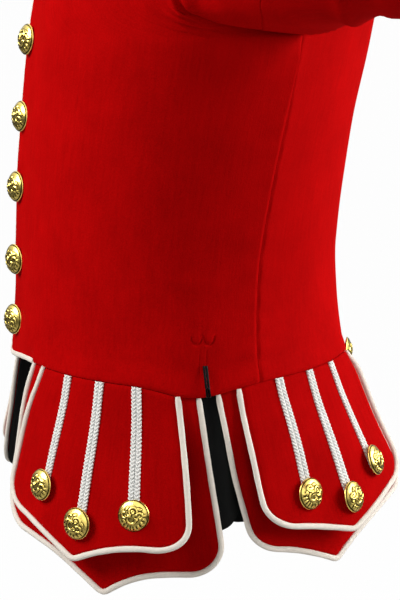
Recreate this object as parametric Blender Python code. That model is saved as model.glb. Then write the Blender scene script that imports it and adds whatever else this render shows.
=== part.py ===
"""A worn Highland military doublet in scarlet wool, as hollow cloth walls with no wearer inside.

Sizes in the tables are millimetres. Heights count up from the waist seam, and angles run round the
body from the centre front (0) past the wearer's left side (90) to the centre back (180). The front
faces -Y, the wearer's left is +X and up is +Z. The origin lies between the shoulders that hold it.
"""

from collections import namedtuple
from math import asin, atan2, cos, degrees, exp, pi, radians, sin, sqrt

import bmesh
import bpy
import numpy as np

MM = 0.001
SEAM = 0.3  # gap between two pieces at a seam or between two layers
BODY_CLOTH = 2.0  # wool of the bodice and sleeves
FLAP_CLOTH = 2.0
LINING_CLOTH = 1.0
COLLAR_CLOTH = 3.0
PIPING_RADIUS = 2.0
PIPING_SIDES = 5
SHOULDER_HEIGHT = 447.0  # origin above the waist seam

# ---------------------------------------------------------------- the body of the doublet

# One row for each level of the torso, from the waist seam to the chest.
Level = namedtuple("Level", "height half_width front back")
LEVELS = (
    Level(0, 165, 116.5, 145),
    Level(40, 158, 115.5, 136),
    Level(80, 157, 117.5, 132.5),
    Level(130, 161, 118, 133.5),
    Level(180, 167, 116.5, 137.5),
    Level(230, 174, 114.5, 145),
    Level(280, 179, 112, 151.5),
    Level(330, 184, 112, 158),
    Level(380, 189, 112, 158),
    Level(430, 195, 112, 158),
    Level(455, 205, 112, 158),
    Level(475, 214, 112, 158),
)
RIDGE_HEIGHT = 475.0  # shoulder ridge where it would cross the centre
# Above these heights the front and back curve over to the ridge, as a rounder or squarer arch.
Arch = namedtuple("Arch", "start power")
ARCHES = {"front": Arch(250, 1.7), "back": Arch(330, 2.2)}
WAIST_CENTRE_Y = -31.0  # the body leans back from here to y = 0 at the ridge
SHOULDER_DROP = 45.0
SHOULDER_X = 190.0
CLOSING_RIDGE = 2.5  # the layers of the closing stand forward of the chest
CLOSING_RIDGE_WIDTH = 22.0
# The waist seam dips at the closing, at the side vent and to a blunt point at the centre back.
Dip = namedtuple("Dip", "angle depth width")
SEAM_DIPS = (Dip(0, 7, 14), Dip(91.7, 8.8, 13.6), Dip(180, 24, 14))
SEAM_DIP_FADE = 45.0

# Where the front and back panels end, in degrees round the body.
Limit = namedtuple("Limit", "height front back")
SIDE_LIMITS = (
    Limit(0, 110.7, 110.7),
    Limit(80, 110.8, 110.8),
    Limit(130, 112.3, 112.3),
    Limit(180, 114.3, 114.3),
    Limit(243, 117, 117),
    Limit(246, 107, 118.3),
    Limit(250, 96, 119.5),
    Limit(257, 85, 121),
    Limit(275, 75, 122),
    Limit(310, 67, 122),
    Limit(350, 63, 122),
    Limit(400, 60, 122),
    Limit(442, 60, 120),
    Limit(475, 62, 118),
)
ARMPIT_HEIGHT = 243.0
PANEL_HEIGHTS = (
    *range(0, 235, 29), 243, 246, 250, 257, 266, 280, 300, 325, 350, 375, 400,
    405, 415, 428, 442, 455, 466, 469, 473, 475,
)
FRONT_COLUMNS = 13
BACK_COLUMNS = 7
OVERLAP = 13.0  # the left front closes this far past the centre
UNDERLAP = 20.0  # the right front reaches this far under it
UNDERLAP_STEP = BODY_CLOTH + 3 * SEAM  # the right front lies this far under the left one's face
UNDERLAP_EASE = 28.0  # width over which it steps inwards

NECK_HALF_WIDTH = 66.0
NECK_FRONT_HEIGHT = 400.0
NECK_BACK_HEIGHT = 466.0
COLLAR_HEIGHT = 43.0
COLLAR_LEAN = 5.0
COLLAR_GAP = 0.9

# Soft folds of the worn cloth: they start at the armhole and die out down the side.
Fold = namedtuple("Fold", "angle height slant length width depth")
FOLDS = (
    Fold(60, 322, 8, 70, 26, -3.4),
    Fold(73, 306, 2, 66, 24, 3.0),
    Fold(128, 268, -18, 80, 27, -2.8),
)

# ---------------------------------------------------------------- sleeves

# Sections of the sleeve, by distance out from the armhole.
Sleeve = namedtuple("Sleeve", "distance heading across upright rise")
SLEEVE_SECTIONS = (
    Sleeve(0, 42, 56, 93, 0),
    Sleeve(45, 42, 68, 86, 0),
    Sleeve(110, 42, 70, 80, 0),
    Sleeve(200, 40, 66, 73, 1),
    Sleeve(300, 26, 60, 64, 1),
    Sleeve(420, 10, 55, 57, 0),
    Sleeve(590, 6, 47, 47, -2),
)
SLEEVE_BLEND = 95.0  # length over which the sleeve leaves the armhole's own shape
SLEEVE_STATIONS = (0, 12, 28, 48, 72, 100, 145, 195, 245, 300, 355, 430, 590)
SLEEVE_SIDE_POINTS = 8  # columns from the armpit up to the shoulder tip, and as many down the back
FOREARM_SEAM = 1  # column of the seam in front of the armpit
HINDARM_SEAM = 12  # column of the seam behind the arm
SLEEVE_GAP = 0.9

# ---------------------------------------------------------------- flaps below the waist

# Outlines out to the piping's outer side: places along the waist seam from the centre front, and
# depths below it. A bow pushes the edge outwards at half depth.
Flap = namedtuple("Flap", "front_top front_low front_bow rear_top rear_low rear_bow "
                          "front_corner rear_corner point_at point_depth sharpness")
UNDER_FLAPS = {
    "front": Flap(72.8, 74, 14.5, 231, 247.5, 1, 127, 130.5, 166, 158, 2.1),
    "rear": Flap(241.5, 268, 2, 410, 410, 2, 127, 117, 325, 147, 2.0),
}
OVER_FLAPS = {
    "front": Flap(93, 75.5, 12, 216, 222, 2.5, 110.5, 114, 151.5, 133.5, 2.0),
    "rear": Flap(256.5, 269, 1, 405, 403, 2, 109, 107, 328.5, 126, 1.6),
}
CORNER_RADIUS = 19.0
FLARE_FRONT = 8.5  # degrees out from the vertical
FLARE_REAR = 23.0
FLARE_FRONT_UNTIL = 100.0
FLARE_REAR_FROM = 165.0
STAND_OFF = 5.5  # the over flap hangs this much further out at its bottom
FLAP_START = 1.05  # the flaps begin this far below the bodice's edge
FLAP_COLUMNS = 14
FLAP_ROWS = 5

PIPING_INSET = 2 * PIPING_RADIUS + SEAM

# The black lining shows in the vents, where it reaches past the flap as a short underlap.
UNDERLAP_WIDTH = 17.0
UNDERLAP_DEPTH = 100.0
UNDERLAP_ROUNDING = 9.0
LINING_INSET = 3.0

# Braids by their places along the seam at the top and at the button, with the button's depth.
Braid = namedtuple("Braid", "top low depth")
BRAIDS = {
    "front": (Braid(127, 117.5, 85), Braid(157, 153, 105), Braid(185.5, 189, 92)),
    "rear": (Braid(291.5, 300.5, 89), Braid(323.5, 332, 101), Braid(354.5, 364, 84)),
}
BRAID_WIDTH = 7.8
BRAID_THICKNESS = 1.8
BRAID_GROOVE = 0.8
BRAID_GAP = 3 * SEAM
SEAM_STRIP = 2.2  # the narrow strip in the waist seam that holds a flap's three braids
OVER_START = SEAM_STRIP + SEAM

# ---------------------------------------------------------------- buttons and hooks

BUTTON_RADIUS = 11.8
BUTTON_RIM = 1.4
BUTTON_DOME = 5.6
BUTTON_BACK_RADIUS = 8.0
BUTTON_SEGMENTS = 12
# Front buttons by height and place off the centre; the closing pulls them round to the left.
Fastening = namedtuple("Fastening", "height x tilt")
FRONT_BUTTONS = (
    Fastening(23, 20, 20),
    Fastening(67.5, 18.5, 18),
    Fastening(123.5, 16.5, 16),
    Fastening(177, 14.5, 15),
    Fastening(235, 13, 15),
    Fastening(291, 12, 15),
    Fastening(347, 12, 15),
)
BACK_BUTTON_SEAM_PLACE = 425.0
BACK_BUTTON_HEIGHT = -1.0

HOOK_WIRE = 0.9  # radius of the belt hook's wire
HOOK_HALF_WIDTH = 1.7
HOOK_ANGLE = 94.3
HOOK_LEAN = 0.17  # it leans back on its way down
# The hook's side view: height, and distance off the cloth.
HOOK_ROUTE = ((11.5, 0.1), (7, 1.6), (2, 3.4), (-2.5, 4.8), (-6, 6.4), (-8, 9), (-7.5, 12), (-4.5, 13.8), (-1, 14.3))


def smooth_value(table, column, at):
    """Read one column of a table between its rows, on a smooth curve without overshoot."""
    places = [row[0] for row in table]
    values = [getattr(row, column) for row in table]
    if at <= places[0]:
        return values[0]
    if at >= places[-1]:
        return values[-1]
    slopes = np.gradient(values, places)
    i = int(np.searchsorted(places, at)) - 1
    step = places[i + 1] - places[i]
    t = (at - places[i]) / step
    rise = values[i + 1] - values[i]
    for end in (i, i + 1):
        if rise == 0 or slopes[end] * rise < 0:
            slopes[end] = 0
        else:
            slopes[end] = np.sign(rise) * min(abs(slopes[end]), 3 * abs(rise) / step)
    return float(
        values[i] * (2 * t**3 - 3 * t**2 + 1)
        + values[i + 1] * (3 * t**2 - 2 * t**3)
        + step * slopes[i] * (t**3 - 2 * t**2 + t)
        + step * slopes[i + 1] * (t**3 - t**2)
    )


def ease(value):
    """0 below 0, 1 above 1, and smooth between."""
    value = min(max(value, 0.0), 1.0)
    return value * value * (3 - 2 * value)


def unit(vector):
    return vector / np.linalg.norm(vector)


# ---------------------------------------------------------------- surfaces


def arch(half, height):
    """How much of the chest's depth is left at this height, down to 0 on the shoulder ridge."""
    start, power = ARCHES[half]
    t = min(max((height - start) / (RIDGE_HEIGHT - start), 0.0), 1.0)
    return (1 - t**power) ** (1 / power)


def centre_y(height):
    return WAIST_CENTRE_Y * (1 - height / RIDGE_HEIGHT)


def half_width(height):
    return smooth_value(LEVELS, "half_width", height)


def fold_height(angle, height):
    """How far the folds lift the cloth here. The angle is in degrees."""
    lift = 0.0
    for fold in FOLDS:
        along = (fold.height - height) / fold.length
        middle = fold.angle + fold.slant * along
        across = (angle - middle) * 2.6 / fold.width
        lift += fold.depth * exp(-across**2) * exp(-((along - 0.3) / 0.55) ** 2)
    return lift


def torso_base(angle, height):
    """Torso before folds. The angle is in radians, and negative past the centre front."""
    width = half_width(height)
    half = "front" if cos(angle) > 0 else "back"
    depth = max(smooth_value(LEVELS, half, height) * arch(half, height), SEAM / 2)
    x = width * sin(angle)
    y = centre_y(height) - depth * cos(angle)
    if half == "front":
        y -= CLOSING_RIDGE * arch(half, height) * exp(-((x / CLOSING_RIDGE_WIDTH) ** 2))
    drop = SHOULDER_DROP * ease((height - ARMPIT_HEIGHT) / (RIDGE_HEIGHT - ARMPIT_HEIGHT))
    drop *= (abs(x) / SHOULDER_X) ** 1.5
    dip = sum(d.depth * exp(-(((degrees(angle) - d.angle) / d.width) ** 2)) for d in SEAM_DIPS)
    dip *= 1 - ease(height / SEAM_DIP_FADE)
    return np.array([x, y, height - drop - dip - SHOULDER_HEIGHT])


def torso_normal(angle, height, base=torso_base):
    """Outward normal of the torso from its slopes."""
    low = min(height, RIDGE_HEIGHT - 2)
    round_body = base(angle + 0.01, low) - base(angle - 0.01, low)
    up_body = base(angle, low + 1) - base(angle, low - 1)
    return unit(np.cross(round_body, up_body))


def torso(angle, height, lift=0.0):
    """A point of the bodice's outer face, moved out along its normal."""
    lift += fold_height(degrees(angle), height)
    return torso_base(angle, height) + lift * torso_normal(angle, height)


def body_angle(x, height):
    """The angle at which the torso has this x, ahead of the sides."""
    return asin(max(-1.0, min(1.0, x / half_width(height))))


SEAM_ANGLES = [radians(i / 2) for i in range(361)]
SEAM_POINTS = [torso_base(angle, 0) for angle in SEAM_ANGLES]
SEAM_PLACES = np.concatenate(
    ([0.0], np.cumsum([np.linalg.norm((b - a)[:2]) for a, b in zip(SEAM_POINTS, SEAM_POINTS[1:])]))
)


def flare(angle):
    """How far a flap swings out here, in radians."""
    turn = ease((degrees(angle) - FLARE_FRONT_UNTIL) / (FLARE_REAR_FROM - FLARE_FRONT_UNTIL))
    return radians(FLARE_FRONT + (FLARE_REAR - FLARE_FRONT) * turn)


def flap_frame(place):
    """Start on the waist seam, direction down the flap and outward normal at a place along the seam."""
    angle = float(np.interp(place, SEAM_PLACES, SEAM_ANGLES))
    start = torso_base(angle, 0)
    depth = LEVELS[0].front if cos(angle) > 0 else LEVELS[0].back
    outward = unit(np.array([sin(angle) / LEVELS[0].half_width, -cos(angle) / depth, 0.0]))
    swing = flare(angle)
    up = np.array([0.0, 0.0, 1.0])
    return start, outward * sin(swing) - up * cos(swing), outward * cos(swing) + up * sin(swing)


def flap_point(place, depth, lift):
    start, down, normal = flap_frame(place)
    return start + depth * down + lift * normal


# ---------------------------------------------------------------- making solids


def material(name, colour, roughness, metallic=0.0):
    made = bpy.data.materials.new(name)
    made.use_nodes = True
    shader = made.node_tree.nodes["Principled BSDF"]
    shader.inputs["Base Color"].default_value = (*colour, 1.0)
    shader.inputs["Roughness"].default_value = roughness
    shader.inputs["Metallic"].default_value = metallic
    return made


def new_object(name, points, faces, finish):
    """One closed mesh from points in millimetres."""
    mesh = bpy.data.meshes.new(name)
    mesh.from_pydata([tuple(float(c) * MM for c in point) for point in points], [], faces)
    mesh.materials.append(finish)
    made = bpy.data.objects.new(name, mesh)
    bpy.context.scene.collection.objects.link(made)
    body = bmesh.new()
    body.from_mesh(mesh)
    bmesh.ops.recalc_face_normals(body, faces=body.faces)
    body.to_mesh(mesh)
    body.free()
    mesh.shade_smooth()
    mesh.set_sharp_from_angle(angle=radians(50))
    return made


def cloth(name, grid, normals, thickness, finish):
    """A wall from a grid of outer points: the inner points lie one thickness behind them."""
    grid, normals = np.asarray(grid), np.asarray(normals)
    rows, columns = grid.shape[:2]
    points = np.concatenate((grid.reshape(-1, 3), (grid - normals * thickness).reshape(-1, 3)))
    inner = rows * columns
    faces = []
    for row in range(rows - 1):
        for column in range(columns - 1):
            a = row * columns + column
            quad = (a, a + 1, a + columns + 1, a + columns)
            faces.append(quad)
            faces.append(tuple(inner + i for i in reversed(quad)))
    rim = [(0, c) for c in range(columns)] + [(r, columns - 1) for r in range(1, rows)]
    rim += [(rows - 1, c) for c in range(columns - 2, -1, -1)] + [(r, 0) for r in range(rows - 2, 0, -1)]
    rim = [row * columns + column for row, column in rim]
    for a, b in zip(rim, rim[1:] + rim[:1]):
        faces.append((b, a, a + inner, b + inner))
    return new_object(name, points, faces, finish)


def tube(name, rings, finish):
    """A closed tube through rings that all have the same number of points."""
    sides = len(rings[0])
    faces = [tuple(range(sides)), tuple(range(len(rings) * sides - sides, len(rings) * sides))]
    for ring in range(len(rings) - 1):
        for side in range(sides):
            a = ring * sides + side
            b = ring * sides + (side + 1) % sides
            faces.append((a, b, b + sides, a + sides))
    return new_object(name, [point for ring in rings for point in ring], faces, finish)


def round_ring(centre, across, normal, radius, sides=PIPING_SIDES):
    turns = [2 * pi * i / sides + pi / 2 for i in range(sides)]
    return [centre + radius * (cos(turn) * across + sin(turn) * normal) for turn in turns]


def edge_tube(name, edge, normals, outside, finish, lift=0.0):
    """Piping along an edge, on the side that the outside sign gives, a seam's gap away from it."""
    rings = []
    for i, point in enumerate(edge):
        before = unit(point - edge[i - 1]) if i > 0 else None
        after = unit(edge[i + 1] - point) if i + 1 < len(edge) else None
        before = after if before is None else before
        after = before if after is None else after
        along = unit(before + after)
        across = outside * unit(np.cross(along, normals[i]))
        mitre = min(1 / max(0.1, float(np.dot(along, after))), 1.35)
        centre = point + across * (PIPING_RADIUS + SEAM) * mitre + lift * normals[i]
        rings.append(round_ring(centre, across, normals[i], PIPING_RADIUS))
    return tube(name, rings, finish)


def mirrored(points, side):
    """The same points on the wearer's left (1) or right (-1)."""
    return np.asarray(points) * np.array([side, 1.0, 1.0])


# ---------------------------------------------------------------- fronts and backs


def neck_x(height, bottom):
    """Half the neckline's width at this height, from 0 at the bottom of the neckline."""
    if height <= bottom:
        return 0.0
    t = (RIDGE_HEIGHT - height) / (RIDGE_HEIGHT - bottom)
    return NECK_HALF_WIDTH * sqrt(max(0.0, 1 - t * t))


def front_inner_angle(side, height):
    """Where a front starts: at its closing edge, or on the neckline above that."""
    if height > NECK_FRONT_HEIGHT:
        return body_angle(neck_x(height, NECK_FRONT_HEIGHT), height)
    return -body_angle(OVERLAP if side > 0 else UNDERLAP, height)


def back_inner_angle(height):
    if height > NECK_BACK_HEIGHT:
        return pi - body_angle(neck_x(height, NECK_BACK_HEIGHT), height)
    return pi - SEAM / 2 / half_width(height)


def side_angle(panel, height):
    """Where a front or back ends at the side-back seam or the armhole."""
    angles = [getattr(row, panel) for row in SIDE_LIMITS]
    angle = radians(float(np.interp(height, [row.height for row in SIDE_LIMITS], angles)))
    gap = SEAM / 2 / half_width(height)
    return angle - gap if panel == "front" else angle + gap


def ridge_normal():
    """Normal on the shoulder ridge, square to its slope."""
    slope = torso_base(pi / 2, RIDGE_HEIGHT) - torso_base(pi / 4, RIDGE_HEIGHT)
    return unit(np.array([-slope[2], 0.0, slope[0]]))


def panel_angles(panel, side, height):
    """Angles of a panel's columns. Where the two fronts overlap, both have columns at the same places."""
    outer = side_angle(panel, height)
    if panel == "back":
        return list(np.linspace(back_inner_angle(height), outer, BACK_COLUMNS + 1))
    inner = front_inner_angle(side, height)
    if inner >= 0:
        return list(np.linspace(inner, outer, FRONT_COLUMNS + 1))
    other_edge = body_angle(UNDERLAP if side > 0 else OVERLAP, height)
    return [inner, 0.0] + list(np.linspace(other_edge, outer, FRONT_COLUMNS - 1))


def panel_grid(panel, side):
    """Outer points and normals of one front or back, from the waist seam up."""
    grid, normals = [], []
    for height in PANEL_HEIGHTS:
        row, row_normals = [], []
        for angle in panel_angles(panel, side, height):
            normal = ridge_normal() if height == RIDGE_HEIGHT else torso_normal(angle, height)
            lift = 0.0
            if panel == "front" and side < 0:
                x = torso_base(angle, height)[0]
                lift = -UNDERLAP_STEP * (1 - ease((x - OVERLAP - 5) / UNDERLAP_EASE))
            point = torso(angle, height, lift)
            if height == 0:
                point[2] += SEAM / 2
            row.append(point)
            row_normals.append(normal)
        grid.append(row)
        normals.append(row_normals)
    return mirrored(grid, side), mirrored(normals, side)


def armhole_loop(side):
    """The armhole from the armpit up the front, over the shoulder and down the back, with normals."""
    start = PANEL_HEIGHTS.index(ARMPIT_HEIGHT)
    front, front_normals = panel_grid("front", side)
    back, back_normals = panel_grid("back", side)
    loop = list(front[start:, -1]) + list(back[-2:start:-1, -1])
    normals = list(front_normals[start:, -1]) + list(back_normals[-2:start:-1, -1])
    return np.array(loop), np.array(normals)


# ---------------------------------------------------------------- sleeves


def sleeve_path(distance, side, start):
    """Centre of the sleeve and its heading, by steps along the arm."""
    centre, travelled, step = start.copy(), 0.0, 5.0
    while True:
        turn = radians(smooth_value(SLEEVE_SECTIONS, "heading", travelled))
        heading = np.array([side * cos(turn), sin(turn), 0.0])
        if travelled >= distance:
            return centre, heading
        length = min(step, distance - travelled)
        centre = centre + heading * length
        travelled += length


def sleeve_grid(side):
    """Points and normals of the whole sleeve: one ring at each station, from the armpit round the front."""
    loop, loop_normals = armhole_loop(side)
    middle = (loop.max(axis=0) + loop.min(axis=0)) / 2
    _, heading = sleeve_path(0, side, middle)
    behind = np.array([-side * heading[1], side * heading[0], 0.0]) * side
    turns = np.unwrap([atan2(np.dot(p - middle, behind), middle[2] - p[2]) for p in loop])
    end = turns[0] + (2 * pi if turns[-1] > turns[0] else -2 * pi)
    tip = turns[int(loop[:, 2].argmax())]
    up_front = np.linspace(turns[0], tip, SLEEVE_SIDE_POINTS + 1)[:-1]
    down_back = np.linspace(tip, end, SLEEVE_SIDE_POINTS + 1)[:-1]
    wanted = list(up_front) + list(down_back)
    order = np.argsort(np.append(turns, end))
    closed = np.append(turns, end)[order]
    closed_loop = np.vstack((loop, loop[:1]))[order]
    closed_normals = np.vstack((loop_normals, loop_normals[:1]))[order]
    start = np.array([[np.interp(w, closed, closed_loop[:, k]) for k in range(3)] for w in wanted])
    body_normals = np.array([[np.interp(w, closed, closed_normals[:, k]) for k in range(3)] for w in wanted])
    rings = []
    for distance in SLEEVE_STATIONS:
        centre, heading = sleeve_path(distance, side, middle)
        behind = np.array([-side * heading[1], side * heading[0], 0.0]) * side
        across = smooth_value(SLEEVE_SECTIONS, "across", distance)
        upright = smooth_value(SLEEVE_SECTIONS, "upright", distance)
        rise = smooth_value(SLEEVE_SECTIONS, "rise", distance)
        blend = ease(distance / SLEEVE_BLEND)
        ring = []
        for i, turn in enumerate(wanted):
            shaped = centre + across * sin(turn) * behind + np.array([0, 0, rise - upright * cos(turn)])
            held = start[i] + heading * (distance + SLEEVE_GAP)
            ring.append(held * (1 - blend) + shaped * blend)
        rings.append(ring)
    rings = np.array(rings)
    round_arm = np.roll(rings, -1, axis=1) - np.roll(rings, 1, axis=1)
    along_arm = np.gradient(rings, axis=0)
    normals = np.cross(round_arm, along_arm)
    normals /= np.linalg.norm(normals, axis=2, keepdims=True)
    outward = rings - rings.mean(axis=1, keepdims=True)
    if (normals * outward).sum() < 0:
        normals = -normals
    first = normals[0] + body_normals
    first /= np.linalg.norm(first, axis=1, keepdims=True)
    normals[0] = first / np.maximum((first * normals[0]).sum(axis=1, keepdims=True), 0.75)
    return rings, normals


def sleeve_piece(rings, normals, first, last):
    """Columns first to last of the sleeve, drawn back by half a seam's gap at each end."""
    columns = [i % rings.shape[1] for i in range(first, last + 1)]
    grid, side_normals = rings[:, columns].copy(), normals[:, columns]
    for end, inward in ((0, 1), (-1, -2)):
        across = grid[:, inward] - grid[:, end]
        across /= np.linalg.norm(across, axis=1, keepdims=True)
        grid[:, end] += across * SEAM / 2
    return grid, side_normals


# ---------------------------------------------------------------- flaps


def flap_edge(flap, part, t):
    """Place of the front or rear edge along the seam, at the share t of the depth."""
    top, low = getattr(flap, part + "_top"), getattr(flap, part + "_low")
    bow = getattr(flap, part + "_bow") * (-1 if part == "front" else 1)
    return top + (low - top) * t + bow * 4 * t * (1 - t)


def flap_bottom(flap, u, inset):
    """Depth of the flap's bottom at the share u of its width: rounded corners and a point."""
    place = flap.front_low + (flap.rear_low - flap.front_low) * u
    ahead = place < flap.point_at
    reach = flap.point_at - flap.front_low if ahead else flap.rear_low - flap.point_at
    corner = flap.front_corner if ahead else flap.rear_corner
    q = min(1.0, abs(place - flap.point_at) / reach)
    depth = corner + (flap.point_depth - corner) * (1 - q) ** flap.sharpness
    start = 1 - CORNER_RADIUS / reach
    if q > start:
        depth -= CORNER_RADIUS * (1 - sqrt(max(0.0, 1 - ((q - start) / (1 - start)) ** 2)))
    return depth - inset


def flap_columns(flap):
    """Shares of the width for the columns: close at the corners, and one on the point."""
    point = (flap.point_at - flap.front_low) / (flap.rear_low - flap.front_low)
    half = FLAP_COLUMNS // 2
    before = [point * (1 - cos(pi * i / half)) / 2 for i in range(half)]
    after = [point + (1 - point) * (1 - cos(pi * i / half)) / 2 for i in range(half + 1)]
    return before + after


def over_lift(depth):
    """The over flap's outer face, above the under flap's outer face."""
    return SEAM + FLAP_CLOTH + STAND_OFF * (max(0.0, depth) / OVER_FLAPS["front"].front_corner) ** 2


def flap_grid(flap, side, first_depth, lift):
    grid, normals = [], []
    for row in range(FLAP_ROWS + 1):
        line, line_normals = [], []
        for u in flap_columns(flap):
            v = row / FLAP_ROWS
            depth = first_depth + (flap_bottom(flap, u, PIPING_INSET) - first_depth) * v
            t = depth / flap.point_depth
            front = flap_edge(flap, "front", t) + PIPING_INSET
            rear = flap_edge(flap, "rear", t) - PIPING_INSET
            place = front + (rear - front) * u
            line.append(flap_point(place, depth, lift(depth)))
            line_normals.append(flap_frame(place)[2])
        grid.append(line)
        normals.append(line_normals)
    return mirrored(grid, side), mirrored(normals, side)


OVER_GRIDS = {part: flap_grid(flap, 1, OVER_START, over_lift) for part, flap in OVER_FLAPS.items()}


def outline(grid):
    """The three free edges of a flap's grid, front edge down, along the bottom and up the rear."""
    return np.concatenate((grid[:, 0], grid[-1, 1:-1], grid[::-1, -1]))


def lining_grid(flap, part, side):
    """Black lining behind an under flap, with its short underlap into the side vent."""
    reach = UNDERLAP_WIDTH / (flap.rear_top - flap.front_top)
    shares = flap_columns(flap)
    vent = [1 + reach * k for k in (0.45, 0.85, 1.0)] if part == "front" else [-reach * k for k in (1.0, 0.85, 0.45)]
    shares = shares + vent if part == "front" else vent + shares
    grid, normals = [], []
    for row in range(FLAP_ROWS + 1):
        line, line_normals = [], []
        for u in shares:
            outside = max(u - 1, -u, 0.0) / reach
            bottom = flap_bottom(flap, min(max(u, 0.0), 1.0), PIPING_INSET + LINING_INSET)
            if outside > 0:
                bottom = UNDERLAP_DEPTH - UNDERLAP_ROUNDING * outside**2
            depth = SEAM / 2 + (bottom - SEAM / 2) * row / FLAP_ROWS
            t = depth / flap.point_depth
            front = flap_edge(flap, "front", t) + PIPING_INSET
            rear = flap_edge(flap, "rear", t) - PIPING_INSET
            place = front + (rear - front) * u
            tuck = 0.0
            if part == "rear":
                tuck = (LINING_CLOTH + SEAM) * (1 - ease((place - flap_edge(flap, "front", t) - 4) / 24))
            lift = -FLAP_CLOTH - 2 * SEAM - tuck
            line.append(flap_point(place, depth, lift))
            line_normals.append(flap_frame(place)[2])
        grid.append(line)
        normals.append(line_normals)
    return mirrored(grid, side), mirrored(normals, side)


# ---------------------------------------------------------------- braids, buttons, hooks


def on_over_flap(part, place, depth):
    """Point and normal of the over flap's own faceted face, on the wearer's left."""
    flap = OVER_FLAPS[part]
    grid, normals = OVER_GRIDS[part]
    columns = flap_columns(flap)
    t = depth / flap.point_depth
    front = flap_edge(flap, "front", t) + PIPING_INSET
    rear = flap_edge(flap, "rear", t) - PIPING_INSET
    u = (place - front) / (rear - front)
    row = (depth - OVER_START) / (flap_bottom(flap, u, PIPING_INSET) - OVER_START) * FLAP_ROWS
    first = min(int(max(row, 0)), FLAP_ROWS - 1)
    share = row - first
    line = grid[first] * (1 - share) + grid[first + 1] * share
    point = np.array([np.interp(u, columns, line[:, k]) for k in range(3)])
    normal = np.array([np.interp(u, columns, normals[first][:, k]) for k in range(3)])
    return point, unit(normal)


def braid_rings(part, braid, side):
    """Sections of one braid: a flat back and two ridges with a groove between them."""
    half = BRAID_WIDTH / 2
    profile = ((-half, 0), (-half, 0.6), (-half / 2, 1), (0, 1 - BRAID_GROOVE / BRAID_THICKNESS),
               (half / 2, 1), (half, 0.6), (half, 0))
    bottom = flap_bottom(OVER_FLAPS[part], 0.5, PIPING_INSET)
    depths = [SEAM] + [OVER_START + (bottom - OVER_START) * row / FLAP_ROWS for row in range(1, FLAP_ROWS)]
    depths = [depth for depth in depths if depth < braid.depth - 4] + [braid.depth + 3]
    rings = []
    for depth in depths:
        place = braid.top + (braid.low - braid.top) * depth / braid.depth
        base, normal = on_over_flap(part, place, depth)
        base = base + normal * BRAID_GAP
        across = unit(np.cross(flap_frame(place)[1], normal))
        rings.append(mirrored([base + x * across + z * BRAID_THICKNESS * normal for x, z in profile], side))
    return rings


def seam_strip_grid(braids, side):
    grid, normals = [], []
    places = np.linspace(braids[0].top - BRAID_WIDTH / 2, braids[-1].top + BRAID_WIDTH / 2, 9)
    for depth in (SEAM / 2 + 0.1, SEAM / 2 + SEAM_STRIP - SEAM):
        grid.append([flap_point(place, depth, over_lift(0) + BRAID_GAP + 0.4) for place in places])
        normals.append([flap_frame(place)[2] for place in places])
    return mirrored(grid, side), mirrored(normals, side)


def union(main, others):
    """Join solids into one body with Boolean modifiers."""
    for other in others:
        join = main.modifiers.new("join_" + other.name, "BOOLEAN")
        join.operation = "UNION"
        join.solver = "EXACT"
        join.object = other
        other.hide_render = True
        other.display_type = "WIRE"


def button(name, place, normal, finish):
    """A domed button on a flat back, standing on the cloth at a place that it is given."""
    normal = unit(normal)
    across = unit(np.cross(normal, np.array([0.0, 0.0, 1.0])))
    upright = np.cross(across, normal)
    place = place + normal * SEAM
    profile = ((BUTTON_BACK_RADIUS, 0.0), (BUTTON_RADIUS, BUTTON_RIM), (BUTTON_RADIUS * 0.93, BUTTON_RIM + 1.3),
               (BUTTON_RADIUS * 0.55, BUTTON_DOME - 0.6))
    rings = []
    for radius, height in profile:
        turns = [2 * pi * i / BUTTON_SEGMENTS for i in range(BUTTON_SEGMENTS)]
        rings.append([place + normal * height + radius * (cos(a) * across + sin(a) * upright) for a in turns])
    return tube(name, rings, finish)


def belt_hook(name, side, finish):
    """Two wires down from the eyelet over the waist seam, joined by a bend at the bottom."""
    angle = radians(HOOK_ANGLE)
    outward = torso_normal(angle, 10)
    outward[2] = 0
    across = unit(np.cross(outward, np.array([0.0, 0.0, 1.0])))
    route = []
    for height, off in HOOK_ROUTE:
        base = torso_base(angle, max(0.0, height))
        base[2] = height - SHOULDER_HEIGHT
        route.append(base + outward * off - across * HOOK_LEAN * (HOOK_ROUTE[0][0] - height))
    left = [point - across * HOOK_HALF_WIDTH for point in route]
    right = [point + across * HOOK_HALF_WIDTH for point in route]
    tip = route[-1] + unit(route[-1] - route[-2]) * HOOK_HALF_WIDTH
    path = left + [tip] + right[::-1]
    rings = []
    for i, point in enumerate(path):
        along = unit(path[min(i + 1, len(path) - 1)] - path[max(i - 1, 0)])
        sideways = unit(np.cross(along, np.cross(across, along) + across * 0.01))
        if abs(np.dot(along, across)) > 0.9:
            sideways = unit(np.cross(along, outward))
        flat = unit(np.cross(sideways, along))
        rings.append(round_ring(point, sideways, flat, HOOK_WIRE, 6))
    return tube(name, mirrored(rings, side), finish)


# ---------------------------------------------------------------- the doublet


def make_body(wool):
    for side, name in ((1, "left"), (-1, "right")):
        for panel in ("front", "back"):
            grid, normals = panel_grid(panel, side)
            cloth(f"{panel}_{name}", grid, normals, BODY_CLOTH, wool)


def make_sleeves(wool):
    for side, name in ((1, "left"), (-1, "right")):
        rings, normals = sleeve_grid(side)
        under_end = FOREARM_SEAM + 2 * SLEEVE_SIDE_POINTS
        top = sleeve_piece(rings, normals, FOREARM_SEAM, HINDARM_SEAM)
        under = sleeve_piece(rings, normals, HINDARM_SEAM, under_end)
        cloth(f"top_sleeve_{name}", *top, BODY_CLOTH, wool)
        cloth(f"under_sleeve_{name}", *under, BODY_CLOTH, wool)


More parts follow.
